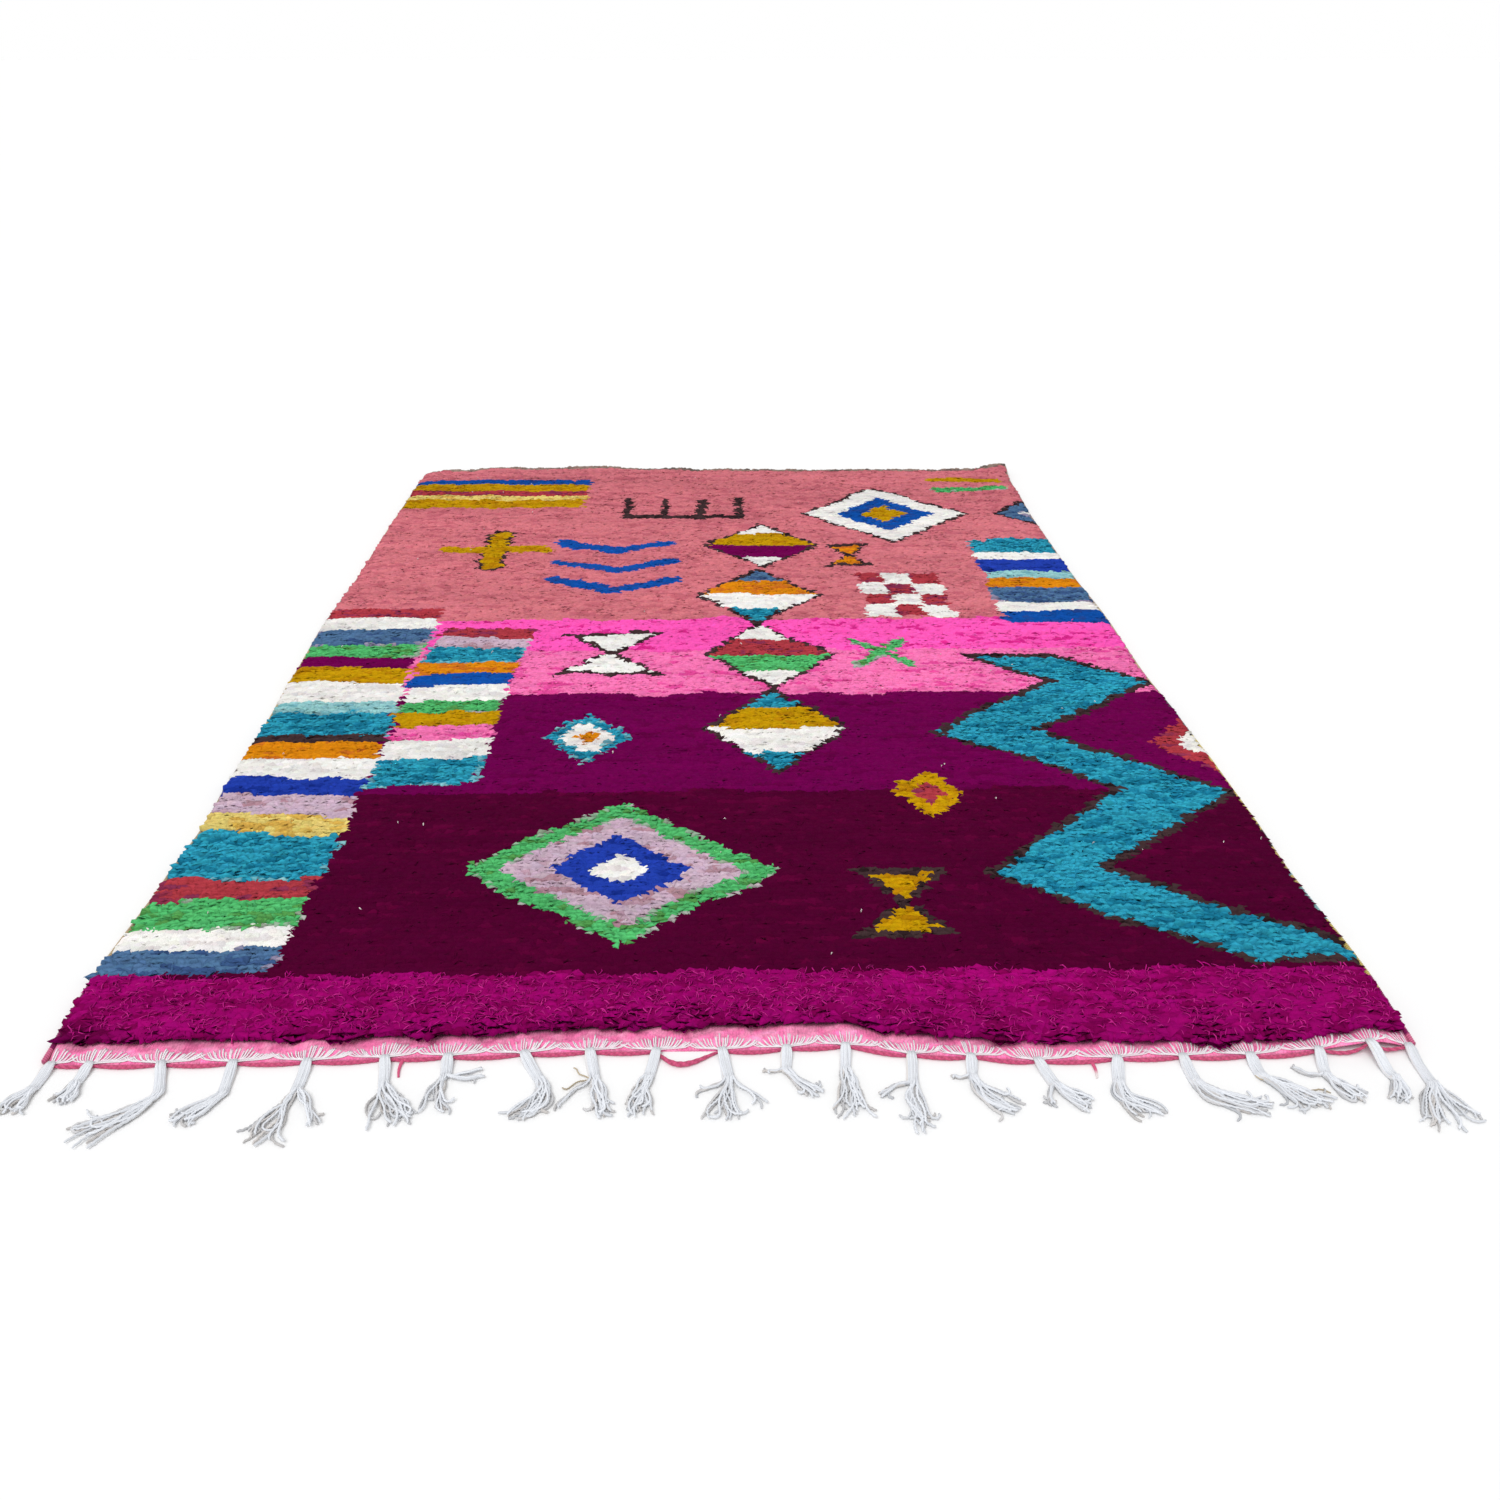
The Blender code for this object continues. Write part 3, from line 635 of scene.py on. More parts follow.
def knot_colours(x, v, index, deep):
    """Linear colour of each knot, with streaks of its second tone and its paler edges. The
    streaks are short flecks where the dye's creases are deep."""
    colours = of_dyes("colour", index)
    seconds = of_dyes("second", index)
    streak = mix(0.55, 0.20, deep) * ripple(x, v, 0.10, 0.014, 51)
    streak += mix(0.70, 0.90, deep) * ripple(x, v, 0.024, 0.009, 53)
    levels = np.quantile(streak, [1 - each.share for each in DYES.values()])[index]
    colours = mix(colours, seconds, (0.85 * ease((streak - levels) / 0.30 + 0.4))[:, None])
    light = 1 + 0.07 * ripple(x, v, 0.16, 0.016, 52) + 0.07 * ripple(x, v, 0.45, 0.07, 54)
    light += random.normal(0, 0.045, x.shape) - 0.07 * ease((v - 2.2) / 0.7)
    # The long end band gets its painted shadow and light here
    colours = colours * (light * band_light(x, v))[:, None]
    colours = colours * (1 + random.normal(0, 0.02, (len(x), 3)))

    reach = 0.005 + 0.016 * np.clip(ripple(x, v, 0.05, 0.05, 55), 0, 1)
    beyond = [charted(x + reach, v), charted(x - reach, v), charted(x, v - 0.5 * reach)]
    chosen = random.uniform(0, 1, x.shape) < 0.70
    for name, pale in PALE_EDGES.items():
        tone = linear(DYES[pale].colour) * random.uniform(0.75, 1.05, (len(x), 1))
        for other in beyond:
            at_edge = chosen & (index == dye(name)) & (other != index) & (other != dye("brown"))
            colours = np.where(at_edge[:, None], mix(colours, tone, 0.45), colours)
    return np.clip(colours, 0.0, 1.0)


def mesh_of(name, points, quads, triangles=(), colours=None, spots=None):
    """A mesh object from arrays of points, faces, point colours and places on a texture."""
    data = bpy.data.meshes.new(name)
    data.vertices.add(len(points))
    data.vertices.foreach_set("co", np.asarray(points, np.float32).ravel())
    corners = np.concatenate([np.ravel(quads), np.ravel(triangles)]).astype(np.int32)
    sizes = np.repeat((4, 3), (len(quads), len(triangles)))
    data.loops.add(len(corners))
    data.loops.foreach_set("vertex_index", corners)
    data.polygons.add(len(sizes))
    data.polygons.foreach_set("loop_start", (np.cumsum(sizes) - sizes).astype(np.int32))
    data.update(calc_edges=True)
    if spots is not None:
        layer = data.uv_layers.new(name="OFBake")
        layer.uv.foreach_set("vector", np.asarray(spots, np.float32)[corners].ravel())
    data.validate()
    data.shade_smooth()
    if colours is not None:
        layer = data.color_attributes.new("dye", "FLOAT_COLOR", "POINT")
        full = np.ones((len(points), 4), np.float32)
        full[:, :3] = np.clip(colours, 0, 1)
        layer.data.foreach_set("color", full.ravel())
    piece = bpy.data.objects.new(name, data)
    bpy.context.collection.objects.link(piece)
    return piece


def settle(piece, material, slot, *nodes):
    """Give a piece its material and its place in the frame."""
    piece.data.materials.append(material)
    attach(piece, "root")
    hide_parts(*nodes)
    return piece


def grid_faces(grid):
    """A face for each cell of a grid of point numbers."""
    return joined(grid[:-1, :-1], grid[:-1, 1:], grid[1:, 1:], grid[1:, :-1]).reshape(-1, 4)


def sweep(paths, across, up, widths, heights, sides):
    """Closed tubes along paths. All arrays are tube by station, and across and up are unit
    vectors of each section. Returns points by tube, then quads and the triangles of the ends."""
    count, stations = paths.shape[:2]
    angle = (np.arange(sides) + 0.5) * 2 * math.pi / sides
    aside = np.cos(angle)[:, None] * (widths / 2)[:, :, None, None]
    rise = np.sin(angle)[:, None] * (heights / 2)[:, :, None, None]
    points = paths[:, :, None] + across[:, :, None] * aside + up[:, :, None] * rise
    points = np.concatenate([points.reshape(count, -1, 3), paths[:, :1], paths[:, -1:]], axis=1)
    ring = np.arange(stations * sides).reshape(stations, sides)
    ahead = np.roll(ring, -1, axis=1)
    quads = grid_faces(np.concatenate([ring, ring[:, :1]], axis=1))
    start, end = joined(ahead[0], ring[0], ring.size), joined(ring[-1], ahead[-1], ring.size + 1)
    base = (np.arange(count) * (ring.size + 2))[:, None, None]
    tips = np.concatenate([start, end]) + base
    return points, (quads + base).reshape(-1, 4), tips.reshape(-1, 3)


def level_frames(paths):
    """Level and rising unit vectors across each station of paths that run on the floor."""
    run = np.gradient(paths, axis=1)
    run /= np.maximum(np.linalg.norm(run, axis=2, keepdims=True), 1e-9)
    across = np.cross(run, np.array([0.0, 0.0, 1.0]))
    across /= np.maximum(np.linalg.norm(across, axis=2, keepdims=True), 1e-9)
    return across, np.cross(across, run)


def per_point(values, sides):
    """Colours by tube and station, given to each point of sweep's tubes."""
    full = np.repeat(values, sides, axis=1)
    return np.concatenate([full, values[:, :1], values[:, -1:]], axis=1).reshape(-1, 3)


def tubes(name, paths, widths, heights, sides, colours, frames=None):
    """A mesh of closed tubes along paths, with sizes and a colour at each station. They lie level
    unless frames are given, and stay over the floor."""
    across, up = frames or level_frames(paths)
    points, quads, tips = sweep(paths, across, up, widths, heights, sides)
    points[..., 2] += max(0.0, FLOOR_CLEARANCE - points[..., 2].min())
    return mesh_of(name, points.reshape(-1, 3), quads, tips, per_point(colours, sides))


def refine(paths):
    """Cut the corners of open paths, keeping their ends."""
    low, high = paths[:, :-1], paths[:, 1:]
    cut = np.stack([mix(low, high, 0.25), mix(low, high, 0.75)], axis=2)
    cut = cut.reshape(len(paths), -1, 3)
    return np.concatenate([paths[:, :1], cut[:, 1:-1], paths[:, -1:]], axis=1)


def pile_top(x, y):
    """Height of the solid pile's crown at each place."""
    down = Vector((0, 0, -1))
    heights = np.empty(len(x))
    for number, (px, py) in enumerate(zip(x, y)):
        hit = SOLID_PILE.ray_cast(Vector((px, py, 1.0)), down)[0]
        heights[number] = hit.z if hit else 0.015
    return heights


def lock_spots(count):
    """Places on a texture for the points of many locks: each lock's two rings lie about its tip,
    and every other lock is turned over so that the triangles fill their row."""
    columns = math.ceil(math.sqrt(count / LOCKS_PER_CELL))
    row, column = np.divmod(np.arange(count), columns * LOCKS_PER_CELL)
    rows = row.max() + 1
    turned = np.where(column % 2, -1.0, 1.0)
    centre_x = (column / LOCKS_PER_CELL + 0.5) / (columns + 0.5)
    centre_y = (row + 0.5 - turned / 6) / rows
    spots = []
    for reach in (0.58, 0.34):
        for right, ahead in CORNERS:
            x = centre_x + right * reach * 0.98 / (columns + 0.5)
            y = centre_y + turned * (ahead * reach * 1.10) / rows
            spots.append(joined(x, y))
    return np.stack([*spots, joined(centre_x, centre_y)], axis=1)


def row_y(x, v):
    """y of the pile's rows, which follow the near edge and grow straight away from it."""
    near = ease(1 - v / NEAR_FADE)
    return NEAR_LINE + v + (pile_y(x) - NEAR_LINE + PILE_NEAR_INSET) * near


def pile_places():
    """Each knot's row, its distance from the near line, and its x and y."""
    rows = int(FIELD_LENGTH / ROW_PITCH)
    knots = int(PILE_WIDTH / KNOT_PITCH)
    row, knot = np.meshgrid(np.arange(rows), np.arange(knots), indexing="ij")
    row, knot = row.ravel(), knot.ravel()
    v = (row + 0.5) * FIELD_LENGTH / rows
    share = (knot + 0.5 * (row % 2) + 0.25) / (knots + 0.5)
    share = np.clip(share + random.normal(0, 0.12, share.shape) / knots, 0, 1)
    x = mix(-1.0, 1.0, share)
    far = ease((v - FIELD_LENGTH + FAR_FADE) / FAR_FADE)
    for _ in range(2):
        y = row_y(x, v) + (far_y(x) - FAR_LINE - PILE_FAR_INSET) * far
        x = mix(left_x(y) + PILE_SIDE_INSET, right_x(y) - PILE_SIDE_INSET, share)
    return row, v, x, y


def lock_forms(row, v, x, y, deep):
    """Root, lean and height of each lock, and how much wider it is at its root and its bend."""
    y += mix(0.4, 1.0, deep) * 0.0030 * ripple(x, row, 0.034, 1.0, 61)
    y += mix(0.6, 1.0, deep) * 0.0026 * ripple(x, row, 0.16, 2.0, 66)
    y += random.normal(0, 0.0007, x.shape)

    floor = lift(x, y)
    full_height = pile_top(x, y) - floor - LOCK_FOOT
    height = full_height + mix(0.0007, 0.0017, deep) * random.normal(0, 1, x.shape)
    height += mix(0.0009, 0.0018, deep) * ripple(x, v, 0.035, 0.014, 62)
    height += mix(0.0007, 0.0020, deep) * ripple(x, row, 0.040, 1.0, 65)

    # Locks at the rim lean out over it, most of all in the long end band
    band = 1 + 0.9 * ease(1 - np.abs(v - 0.08) / 0.10)
    left, right = ease(1 - (x - left_x(y)) / RIM_REACH), ease(1 - (right_x(y) - x) / RIM_REACH)
    rim = right - left
    lean_x = rim * random.uniform(0.008, 0.015, x.shape) * band
    lean_x += mix(0.0020, 0.0046, deep) * random.normal(0, 1, x.shape)
    lean_x += 0.0022 * ripple(x, v, 0.035, 0.035, 63)
    lean_y = -LOCK_LEAN * mix(0.45, 1.0, deep)
    lean_y += mix(0.0010, 0.0027, deep) * random.normal(0, 1, x.shape)
    lean_y += mix(0.0014, 0.0058, deep) * ripple(x, v, 0.045, 0.015, 64)
    over_far_edge = ease(1 - (far_y(x) - y) / FAR_LEAN_REACH)
    lean_y += 0.018 * over_far_edge

    # The first rows hang over the strip, farthest between the tassels
    over_strip = ease(1 - v / OVER_STRIP_REACH)
    lean_y -= over_strip * random.uniform(0.000, 0.009, x.shape)
    lean_y -= over_strip * 0.005 * ripple(x, 0.0, 0.022, 1.0, 67)
    hang = ease(from_root(x) / 0.036) * (0.8 + 0.4 * ripple(x, 0.0, 0.090, 1.0, 68))
    hanging = ease(1 - v / HANGING_REACH)
    lean_y += hanging * mix(0.002, -0.013, hang)
    height -= 0.004 * np.abs(rim) + 0.0022 * over_strip * random.uniform(0, 1, x.shape)
    height -= 0.002 * hanging * hang

    stray = random.uniform(0, 1, x.shape) < 0.10
    stray = stray * mix(0.3, 1.0, deep)
    lean_x += stray * random.normal(0, 0.0050, x.shape)
    lean_y += stray * random.normal(0, 0.0045, x.shape)
    height += stray * random.uniform(-0.002, 0.0022, x.shape)

    # Inside the field the roots spread on a raised bed, so that the ground doesn't show
    inner = (1 - np.abs(rim)) * ease(v / 0.009) * (1 - over_far_edge)
    filled = mix(mix(*FILLED, deep), HANGING_FILLED, hanging)
    bed = inner * (filled * full_height - BED_DROP)
    height = np.maximum(height - bed, 0.0008)
    root = joined(x, y, floor + LOCK_FOOT + bed)
    lean = joined(lean_x, lean_y, 0.0)
    return root, lean, height, (mix(1.0, ROOT_SPREAD, inner), 1 + HANGING_FULLER * hanging)


def lock_points(root, lean, height, spreads):
    """Points of each lock: a ring of three at its root, one at its bend, and its tip."""
    turn = random.normal(0, 0.5, height.shape)
    bulk = random.uniform(0.86, 1.18, height.shape)
    points = []
    bends, sizes = ((0.0, 0.0), LOCK_BEND), (LOCK_ROOT, LOCK_MIDDLE)
    for (out, rise), (width, depth), spread in zip(bends, sizes, spreads):
        centre = root + lean * out + joined(0.0, 0.0, height * rise)
        wide = bulk * 1.15 * spread
        for right, ahead in CORNERS:
            aside, along = right * width / 2, ahead * depth / 2
            away_x = (aside * np.cos(turn) - along * np.sin(turn)) * wide
            away_y = (aside * np.sin(turn) + along * np.cos(turn)) * wide
            points.append(centre + joined(away_x, away_y, 0.0))
    droop = LOCK_TIP_DROOP * random.uniform(0.4, 1.6, height.shape)
    return np.stack([*points, root + lean + joined(0.0, 0.0, height - droop)], axis=1)


def build_pile(material):
    """All locks of pile, as rows of small bent bodies, in pieces from the near end."""
    row, v, x, y = pile_places()
    index = knot_dyes(x, v)
    crease = np.array([each.crease for each in DYES.values()])[index]
    deep = crease / DEEPEST_CREASE
    colours = knot_colours(x, v, index, deep)
    points = lock_points(*lock_forms(row, v, x, y, deep))
    # Painted shade darkens each lock's root ring and painted highlight lightens its tip, the more
    # so in dyes with deep creases
    low, middle, tip = 1 - crease, 1 - 0.15 * crease, 1 + 0.4 * crease
    shades = joined(low, low, low, middle, middle, middle, tip)
    tints = colours[:, None] * shades[..., None]
    quads = np.array([(0, 1, 4, 3), (1, 2, 5, 4), (2, 0, 3, 5)])
    tips = np.array([(3, 4, 6), (4, 5, 6), (5, 3, 6)])
    pieces = []
    for number, chosen in enumerate(np.array_split(np.arange(len(x)), PILE_PIECES), start=1):
        base = (np.arange(len(chosen)) * 7)[:, None, None]
        piece = mesh_of(
            f"pile_{number:02d}",
            points[chosen].reshape(-1, 3),
            (quads + base).reshape(-1, 4),
            (tips + base).reshape(-1, 3),
            tints[chosen].reshape(-1, 3),
            lock_spots(len(chosen)).reshape(-1, 2),
        )
        pieces.append(settle(piece, material, "pile_wool", "woven_rug"))
    return pieces


def build_curls(material):
    """Loose yarn ends that curl over the pile, most of all in the near band, and some lint."""
    chance = np.random.default_rng(1741)
    count = CURLS_IN_BAND + CURLS_ELSEWHERE + LINT
    band_end = GROUND[0][1]
    in_band = chance.uniform(0.004, band_end - 0.008, CURLS_IN_BAND)
    beyond = chance.uniform(band_end, FIELD_LENGTH - 0.03, CURLS_ELSEWHERE + LINT)
    v = np.concatenate([in_band, beyond])
    share = chance.uniform(0.005, 0.995, count)
    y = row_y(mix(-1.0, 1.0, share), v)
    x = mix(left_x(y) + 0.01, right_x(y) - 0.01, share)
    is_lint = np.arange(count) >= count - LINT
    colours = of_dyes("colour", knot_dyes(x, v))
    paler = np.where(v < band_end, chance.uniform(0.02, 0.62, count) ** 1.3, 0.0)
    colours = mix(colours, linear(PALE_CURL), paler[:, None])
    colours = colours * chance.uniform(0.85, 1.25, (count, 1))
    colours[is_lint] = linear(LINT_COLOUR)

    length = chance.uniform(0.010, 0.022, count) * np.where(is_lint, LINT_LENGTH, 1.0)
    turn = chance.uniform(0, 2 * math.pi, count)
    bend = chance.normal(0, 1.9, count)
    arch = chance.uniform(0.0008, 0.0035, count)
    steps = len(CURL_SHADES) - 1
    spot = joined(x, y)
    path = []
    for step, over in enumerate((-0.0035, 0.2 * arch, arch, 0.2 * arch)):
        path.append(joined(*spot.T, pile_top(*spot.T) + CURL_CLEARANCE + over))
        way = turn + bend * step / steps
        spot = spot + joined(np.cos(way), np.sin(way)) * (length / steps)[:, None]
    size = np.repeat(CURL_SIZE * chance.uniform(0.7, 1.2, (count, 1)), steps + 1, axis=1)
    size[:, -1] *= 0.6
    # Each curl is darker where it comes out of the pile and lighter at its tip: painted shade and
    # a painted highlight
    tints = colours[:, None] * np.array(CURL_SHADES)[:, None]
    piece = tubes("pile_curls", np.stack(path, axis=1), size, size, CURL_SIDES, tints)
    return settle(piece, material, "pile_wool", "woven_rug")


def cloth_rise(x, y):
    """Height of the cloth's upper side over its underside: the strip swells and ruffles."""
    depth = y - strip_y(x)
    swell = np.sin(math.pi * np.clip(depth / 0.055, 0, 1))
    ruffle = 0.0014 * ripple(x, y, 0.028, 0.03, 71) + 0.0018 * ripple(x, y, 0.014, 0.011, 73)
    puff = 0.0026 * ease(1 - from_root(x) / 0.030)
    rim = ease(depth / 0.004)
    return CLOTH_THICKNESS * mix(0.55, 1.0, rim) + swell * (0.0014 + ruffle + puff)


def build_cloth(material):
    """The woven ground, a thin sheet that shows as a pink flat-woven strip at the near end."""
    depths = np.concatenate(
        [
            np.linspace(low, high, count, endpoint=False)
            for low, high, count in zip(CLOTH_STOPS, CLOTH_STOPS[1:], CLOTH_ROWS)
        ]
    )
    share = np.linspace(0, 1, CLOTH_COLUMNS)
    lines = []
    for depth in [*depths, *np.linspace(0, 1, CURL_ROWS)]:
        x = mix(-1.0, 1.0, share)
        for _ in range(3):
            edge, end = strip_y(x), far_y(x) - CLOTH_INSET
            y = edge + depth if len(lines) < len(depths) else mix(CURL_Y, end, depth)
            x = mix(left_x(y) + CLOTH_INSET, right_x(y) - CLOTH_INSET, share)
        lines.append((x, y))
    x, y = np.moveaxis(np.array(lines), 1, 0)
    floor = lift(x, y)
    top, bottom = joined(x, y, floor + cloth_rise(x, y)), joined(x, y, floor)
    points = np.concatenate([top, bottom]).reshape(-1, 3)
    grid = np.arange(x.size).reshape(x.shape)
    upper = grid_faces(grid)
    ring = np.concatenate([grid[0], grid[1:, -1], grid[-1, -2::-1], grid[-2:0:-1, 0]])
    ahead = np.roll(ring, -1)
    wall = joined(ahead, ring, ring + x.size, ahead + x.size)
    faces = np.concatenate([upper, upper[:, ::-1] + x.size, wall])

    # Under the pile's edge the strip's pink turns to dark magenta: the pile's root colour with
    # painted shade
    shade_under_pile = ease((y - pile_y(x)) / 0.02)
    mottle = 0.20 * ripple(x, y, 0.016, 0.008, 72) + 0.18 * ripple(x, y, 0.009, 0.005, 74)
    frosted = 0.20 * ease(0.5 + 1.2 * ripple(x, y, 0.012, 0.009, 75))
    pink = mix(linear(STRIP_PINK), linear(STRIP_FROST), frosted[..., None])
    pink = pink * (1 + mottle)[..., None]
    tint = mix(pink, linear(UNDER_PILE_SHADE), shade_under_pile[..., None]).reshape(-1, 3)
    piece = mesh_of("ground_cloth", points, faces, colours=np.concatenate([tint, tint]))
    settle(piece, material, "pile_wool", "woven_rug")


def build_selvedge(side, material):
    """The overcast roll down one side: slanting wraps of wool whose dye changes on the way."""
    name, sign, edge = side
    stations = int(FIELD_LENGTH / WRAP_PITCH) * 2 + 1
    on_wrap = np.arange(stations) % 2
    share = np.linspace(0.0, 1.0, stations)
    start = strip_y(edge(np.array(NEAR_LINE))) + 0.002
    y = mix(start, FAR_LINE - 0.016, share)
    x = edge(y) - sign * SELVEDGE_INSET
    y = mix(start, (far_y(x) - CLOTH_INSET)[-1], share)
    path = joined(x, y, lift(x, y) + 0.54 * SELVEDGE_HEIGHT)[None]
    slant = sign * WRAP_SLANT / SELVEDGE_WIDTH * 2
    frames = [np.broadcast_to(way, path.shape) for way in ((1.0, slant, 0.0), (0.0, 0.18, 1.0))]
    sizes = np.where(on_wrap, 1.0, 0.80) * (1 + 0.05 * ripple(y, 0.0, 0.012, 1.0, 81 + sign))
    widths, heights = SELVEDGE_WIDTH * sizes[None], SELVEDGE_HEIGHT * sizes[None]
    ends, colours = zip(*SELVEDGE_DYES[name])
    place = y - NEAR_LINE + 0.05 * ripple(y, 0.0, 0.009, 1.0, 87)
    tints = linear(colours)[np.searchsorted(ends, place, side="right")]
    # Painted shade darkens the grooves between the wraps, with a slight painted highlight on the
    # wraps
    tints = tints * np.where(on_wrap, 1.05, 0.55)[:, None]
    tints *= (1 + 0.12 * ripple(y, 0.0, 0.008, 1.0, 85))[:, None]
    piece = tubes(f"overcast_{name}", path, widths, heights, WRAP_SIDES, tints[None], frames)
    return settle(piece, material, "selvedge_wool", f"selvedge_{name}")


def yarn_path():
    """Stations of the weft yarn, in swags between the tassels, and its size at each."""
    ends = (ROOTS[0] - YARN_END_MARGIN, ROOTS[-1], ROOTS[-1] + YARN_END_MARGIN)
    spots = [(x, 0.0, 0.0, 1.0) for x in ends]
    for number, (low, high) in enumerate(zip(ROOTS, ROOTS[1:]), start=1):
        swag = LOOP if number == LOOP_NUMBER else SWAG
        fullness = min(1.0, (high - low) / YARN_FULL_SWAG)
        for step in range(YARN_STEPS):
            share = step / YARN_STEPS
            hang = math.sin(math.pi * share**swag.skew) ** swag.power
            spots.append((mix(low, high, share), hang * fullness, swag.sag, swag.bulk))
    x, share, sag, bulk = np.array(sorted(spots)).T
    width = mix(YARN_PINCH, YARN_SWAG * bulk, share)
    edge = strip_y(x)
    y = edge - YARN_SEAT - width / 2 - sag * share
    return joined(x, y, lift(x, edge) * (1 - share) + width / 2)[None], width[None]


def plied_swags(rose):
    """The weft yarn's arrays: its swags with two plies twisted round each other."""
    path, widths = yarn_path()
    points, quads, tips = sweep(path, *level_frames(path), widths, widths, YARN_SIDES)
    body = points[0, :-2].reshape(-1, YARN_SIDES, 3)
    turn = np.arange(YARN_SIDES) * 2 * math.pi / YARN_SIDES + path[0, :, :1] * YARN_TWIST
    ply = 0.5 + 0.5 * np.cos(2 * turn)
    body -= (body - path[0][:, None]) * (0.20 * (1 - ply))[..., None]
    # Painted shade darkens the grooves between the plies, with a painted highlight on their
    # crests
    tint = rose * (0.55 + 0.55 * ply)[..., None]
    return points.reshape(-1, 3), quads, tips, np.concatenate([tint.reshape(-1, 3), [rose, rose]])


def loose_end(end, rose):
    """Arrays of a loose end of the weft yarn, which thins out along the floor."""
    x = mix(ROOTS[end.swag - 1], ROOTS[end.swag], end.share)
    start = float(strip_y(x)) - SWAG.sag
    run = np.linspace(0, 1, END_STATIONS)
    bend = end.bend * np.sin(run * 3.1)
    fat = mix(0.0058, 0.0032, run)
    path = joined(x + bend, start - end.length * run, np.maximum(fat / 2, 0.0016))[None]
    path[0, 0, 2] = 0.0035
    body, quads, tips = sweep(path, *level_frames(path), fat[None], fat[None] * 0.85, END_SIDES)
    tints = mix(rose, linear(end.tip), ease((run - 0.55) / 0.3)[:, None])[None]
    return body.reshape(-1, 3), quads, tips, per_point(tints, END_SIDES)


def build_edge_yarn(material):
    """The last weft yarn in swags, and its loose ends on the floor."""
    rose = linear(YARN_COLOUR)
    bodies = [plied_swags(rose), *(loose_end(end, rose) for end in LOOSE_ENDS)]
    points, quads, tips, tints = zip(*bodies)
    starts = np.cumsum([0, *(len(body) for body in points)])
    piece = mesh_of(
        "weft_swags",
        np.concatenate(points),
        np.concatenate([faces + start for faces, start in zip(quads, starts)]),
        np.concatenate([faces + start for faces, start in zip(tips, starts)]),
        np.concatenate(tints),
    )
    return settle(piece, material, "weft_yarn", "edge_yarn")


def build_fans(material):
    """White warp ends that fan over the strip and curve in to each tassel's root."""
    chance = np.random.default_rng(91)
    shares, depths, backs, overs = np.array(FAN_STATIONS).T
    middles = [mix(low, high, 0.5) for low, high in zip(ROOTS, ROOTS[1:])]
    lows = [float(left_x(NEAR_LINE)) + FAN_SIDE_INSET, *middles]
    highs = [*middles, float(right_x(NEAR_LINE)) - FAN_SIDE_INSET]
    paths = []
    for root, low, high in zip(ROOTS, lows, highs):
        for x in np.linspace(low, high, max(6, int((high - low) / FAN_PITCH))):
            x += chance.normal(0, 0.0010)
            away = root - x
            far_from_root = abs(away) / max(root - low, high - root)
            depth = mix(0.030, 0.017, far_from_root) * chance.uniform(0.70, 1.15)
            across = x + shares * away
            paths.append((across, strip_y(across) + (depth * depths + backs)))
    x, y = np.moveaxis(np.array(paths), 1, 0)
    path = refine(joined(x, y, lift(x, y) + cloth_rise(x, y) + overs))
    along = np.linspace(0, 1, path.shape[1])
    size = np.broadcast_to(FAN_SIZE * mix(1.0, 0.7, along), path.shape[:2])
    rosy = chance.uniform(0, 0.5, (len(path), 1, 1)) ** 1.5
    tone = mix(linear(FAN_WHITE), linear(FAN_ROSE), rosy)
    piece = tubes("warp_fans", path, size, size, FAN_SIDES, np.broadcast_to(tone, path.shape))
    return settle(piece, material, "cotton_fringe", "woven_rug")


def heading(degrees):
    lean = np.radians(degrees)
    return joined(np.sin(lean), -np.cos(lean), 0.0)


def laid_yarn(chance, lane, neck_lean, place, strand_place, spread, strand_sway):
    """Steps of a yarn from the neck's end: it keeps to its strand, waves and hooks at its tip."""
    cut = 1 - STRAND_SIDE_CUT * abs(place) - chance.uniform(0.0, 0.20)
    share = (np.arange(SPRAY_STATIONS) + 0.5) / SPRAY_STATIONS
    rate, start, size = strand_sway
    fan = strand_place * spread * STRAND_SPREAD
    angle = lane.lean + lane.curl * share * cut + fan * ease(share * 3)
    angle += (place - strand_place) * 26 * np.sin(share * math.pi * 1.2)
    angle += size * np.sin(share * rate + start)
    angle += chance.uniform(6, 18) * np.sin(share * chance.uniform(6, 13) + chance.uniform(0, 6))
    crimp = np.where(np.arange(SPRAY_STATIONS) % 2, 1, -1) * chance.uniform(6, 24)
    angle += crimp * ease(share * 5)
    hooked = chance.uniform(0, 1) < 0.22
    turn = chance.choice((-1, 1)) * (chance.uniform(90, 170) if hooked else chance.uniform(0, 55))
    begin = chance.uniform(0.62, 0.80) if hooked else 0.74
    angle += turn * ease((share - begin) / (1 - begin))
    angle = mix(neck_lean, angle, ease(share / 0.14))
    return heading(angle) * lane.spray * cut / SPRAY_STATIONS


